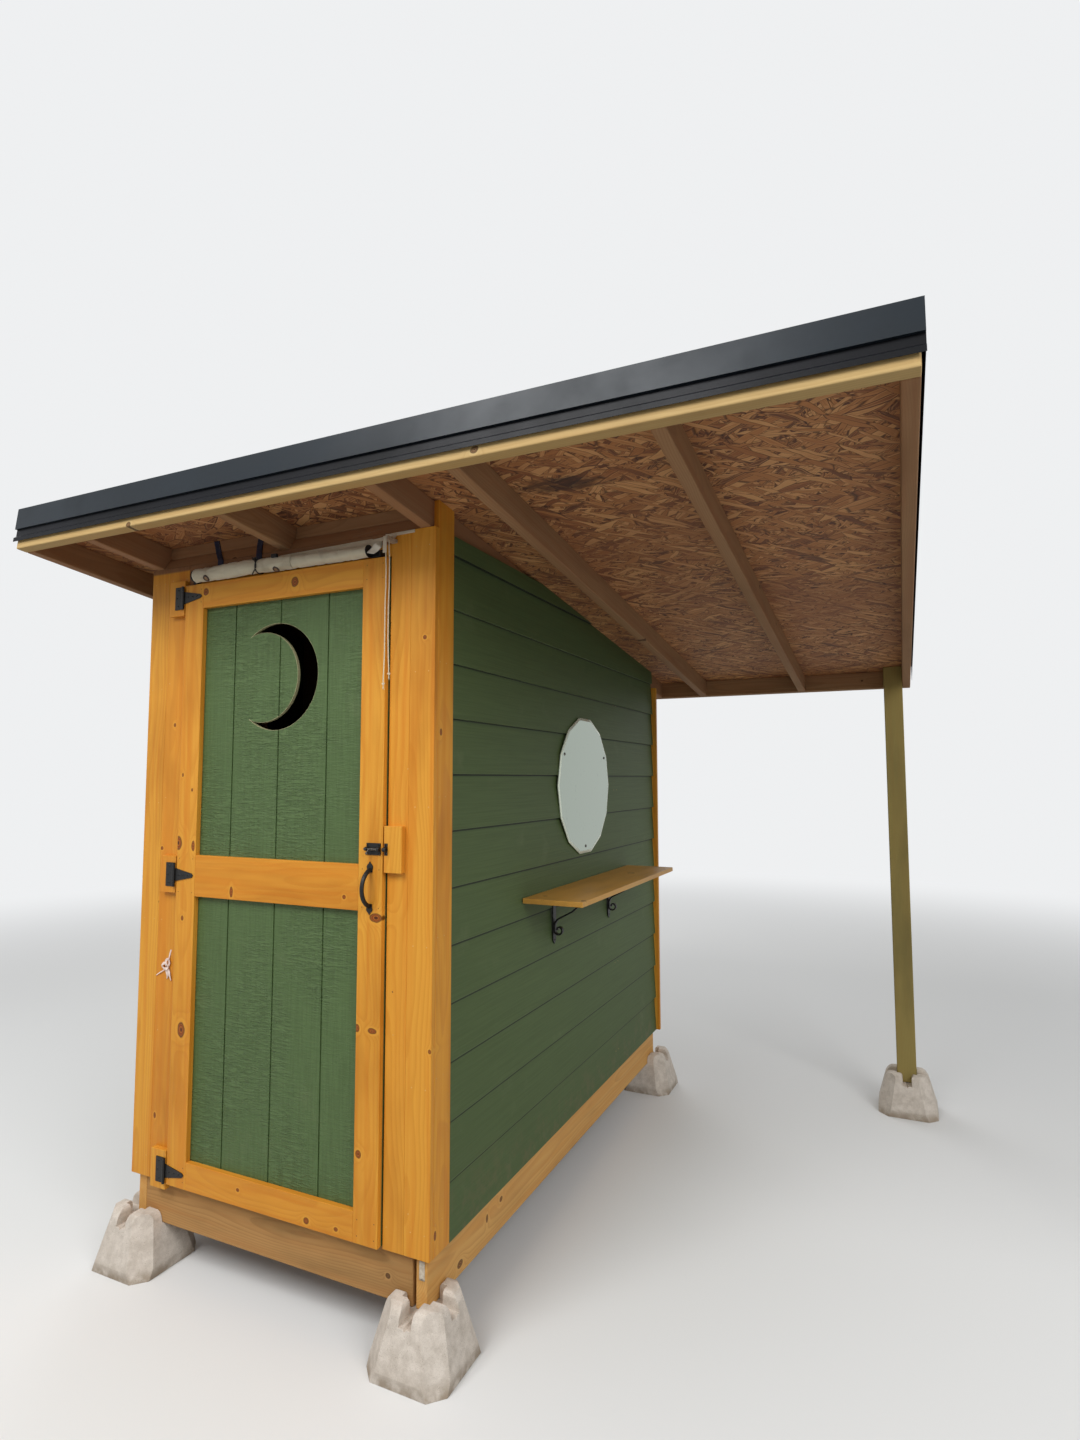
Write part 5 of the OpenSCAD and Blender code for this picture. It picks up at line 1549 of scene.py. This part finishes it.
tagLook = {
    "low": (1190, 18.7, -66), "size": (19, 56), "thickness": 0.0003,
    "pale": srgb(206, 196, 178), "dark": srgb(168, 152, 130),
    "staples": [((1199, 18.0, -12), front), ((1199, 18.0, -62), front)],
}


def paperTag():
    (left, y, foot), (wide, tall) = tagLook["low"], tagLook["size"]

    def spot(u, v):
        lift = 0.35 + 1.1 * (u * v) ** 3
        return at(left + wide * u, y - lift, foot + tall * v), (u * wide / 1000, v * tall / 1000)

    paper = mottled("barePaper", tagLook["pale"], tagLook["dark"], 90, 4, (0.35, 0.75), bump=0.0006, roughness=0.8)
    finished(thickened(sheetOf(6, 12, spot), tagLook["thickness"]), "bare-tag", paper, "house", "blind_cloth")
    sizes = {"Radius": 0.004, "Recess": 0.0006, "Spin": 0.0}
    fastenings("tag-staples", stitch, "house", "bolt_steel", metal["boltSteel"], tagLook["staples"], **sizes)


ribbonLook = {
    "pale": (238, 216, 204), "dark": (214, 176, 158), "stain": (196, 150, 128), "width": 10, "thickness": 0.0004,
    "taper": 0.25, "columns": 4,
    "parts": [  # one length of ribbon in all: the points of each part and its width, in mm
        ([(161, -1.6, 779), (157, -3, 762), (152, -4, 742), (149, -6, 724)], 5),
        ([(152, -6, 722), (140, -9, 733), (124, -7, 722), (136, -5, 712), (150, -6, 717)], 10),
        ([(148, -6, 722), (146, -9, 740), (155, -7, 748), (159, -5, 734), (151, -5, 720)], 9),
        ([(150, -6, 718), (157, -6, 703), (161, -4, 688), (166, -2.5, 674)], 11),
        ([(149, -6, 717), (146, -5, 704), (149, -4, 690), (146, -3, 679)], 8),
        ([(146, -5, 716), (130, -4, 706), (110, -3.5, 696), (91, -2, 685)], 4),
        ([(143, -8, 724), (150, -11, 728), (156, -9, 720), (150, -11, 713), (143, -9, 718)], 8),
    ],
}


def ribbonPart(points, width, total):  # one loop or tail; total: how much ribbon comes before it
    look, line = ribbonLook, dense(points, 6)
    rows = []
    for i in range(look["columns"] + 1):
        row = []
        for k, point in enumerate(line):
            ahead = line[min(k + 1, len(line) - 1)] - line[max(k - 1, 0)]
            turn = 0.5 * math.sin(k * 0.23 + len(points))
            side = Vector((-ahead.z, 0, ahead.x)).normalized() * math.cos(turn) + Vector(front) * math.sin(turn) * 0.7
            share = i / look["columns"]
            place = point + side * (share - 0.5) * width * (1 - look["taper"] * (k / len(line)) ** 2)
            place.y = min(place.y, -0.7)
            run = total + lineLength(line[:k + 1])
            row.append((at(*place), (share * width / 1000, run / 1000)))
        rows.append(row)
    part = sheetGrid(rows)
    bmesh.ops.recalc_face_normals(part, faces=part.faces[:])
    return part, total + lineLength(line)


def knottedRibbon():
    look, parts, total = ribbonLook, [], 0.0
    for points, width in look["parts"]:
        part, total = ribbonPart(points, width, total)
        parts.append(part)
    cloth = clothMaterial("paleRibbon", look["pale"], look["dark"], look["stain"], (90, 60, 1))
    flat = (look["width"] / 1000, total / 1000)
    whole = together(parts)
    solidSheet(whole, "knotted-ribbon", cloth, "blind_cloth", look["thickness"], flat, "hung", ["door_casing"])


paperTag()
knottedRibbon()
print("tag and ribbon set")


# floor, sky and lamps

stageLook = {
    "floor": (0.44, 0.44, 0.435, 1), "shown": (0.8, 0.8, 0.79, 1), "backdrop": (0.86, 0.87, 0.88, 1), "size": 60,
    "fadeFrom": 4.5, "fadeTo": 11, "sky": 0.5, "skyColor": (0.97, 0.985, 1.0, 1.0),
}


def seenBy(tree, *rays):  # 1 for rays of these kinds, 0 for others
    kinds = named(node(tree, "ShaderNodeLightPath"))
    share = kinds[rays[0]]
    for ray in rays[1:]:
        share = calc("ADD", share, kinds[ray], clamp=True)
    return share


def studioFloor():
    look = stageLook
    mesh = bmesh.new()
    bmesh.ops.create_grid(mesh, x_segments=2, y_segments=2, size=look["size"])
    floor = bpy.data.objects.new("studio-floor", meshData(mesh, "studio-floor"))
    bpy.context.scene.collection.objects.link(floor)
    paint, tree = newMaterial("studioFloor", 0.9, gloss=0.1)
    looked = seenBy(tree, "Is Camera Ray", "Is Glossy Ray")
    dress(paint, color=mixed(looked, look["floor"], look["shown"]))
    far = fade(calc("LENGTH", objectPlace(tree)), look["fadeFrom"], look["fadeTo"])
    glow = add(tree, "ShaderNodeEmission", {"Color": look["backdrop"], "Strength": 1.0})
    lit = Signal(tree.nodes["Principled BSDF"].outputs[0])
    both = add(tree, "ShaderNodeMixShader", {0: far * looked, 1: lit, 2: glow})
    feed(tree.nodes["Material Output"].inputs["Surface"], both)
    floor.data.materials.append(paint)
    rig.stage(floor)


def studioSky():
    look = stageLook
    world = bpy.data.worlds.new("studio")
    world.use_nodes = True
    bpy.context.scene.world = world
    tree = world.node_tree
    sky = tree.nodes["Background"]
    feed(sky.inputs["Color"], look["skyColor"])
    feed(sky.inputs["Strength"], look["sky"])
    shown = add(tree, "ShaderNodeBackground", {"Color": look["backdrop"], "Strength": 1.0})
    direct = seenBy(tree, "Is Camera Ray", "Is Glossy Ray", "Is Transmission Ray")
    either = add(tree, "ShaderNodeMixShader", {0: direct, 1: Signal(sky.outputs[0]), 2: shown})
    feed(tree.nodes["World Output"].inputs["Surface"], either)


studioFloor()
studioSky()
lampRows = [  # name, place, aimed at, size, watts
    ("key", (-1.4, -5.6, 6.2), (-0.7, -0.6, 1.0), 3.2, 310),
    ("side", (5.2, -3.8, 4.8), (0.2, 0.2, 0.9), 3.2, 170),
    ("back", (-3.5, 5.5, 4.5), (0, 0, 1.2), 4.0, 85),
]
for name, place, aim, size, watts in lampRows:
    lampData = bpy.data.lights.new(name, "AREA")
    lampData.shape = "SQUARE"
    lampData.size = size
    lampData.energy = watts
    lamp = bpy.data.objects.new(name, lampData)
    turn = (Vector(aim) - Vector(place)).to_track_quat("-Z", "Y").to_matrix().to_4x4()
    lamp.matrix_world = Matrix.Translation(place) @ turn
    bpy.context.scene.collection.objects.link(lamp)
bpy.context.scene.view_settings.view_transform = "Standard"
print("floor and lamps set")

boxes = {"cad": cadBox, "visual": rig.bounds()}
with open("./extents.json", "w") as sizeFile:
    json.dump({name: [list(map(float, point)) for point in box] for name, box in boxes.items()}, sizeFile)
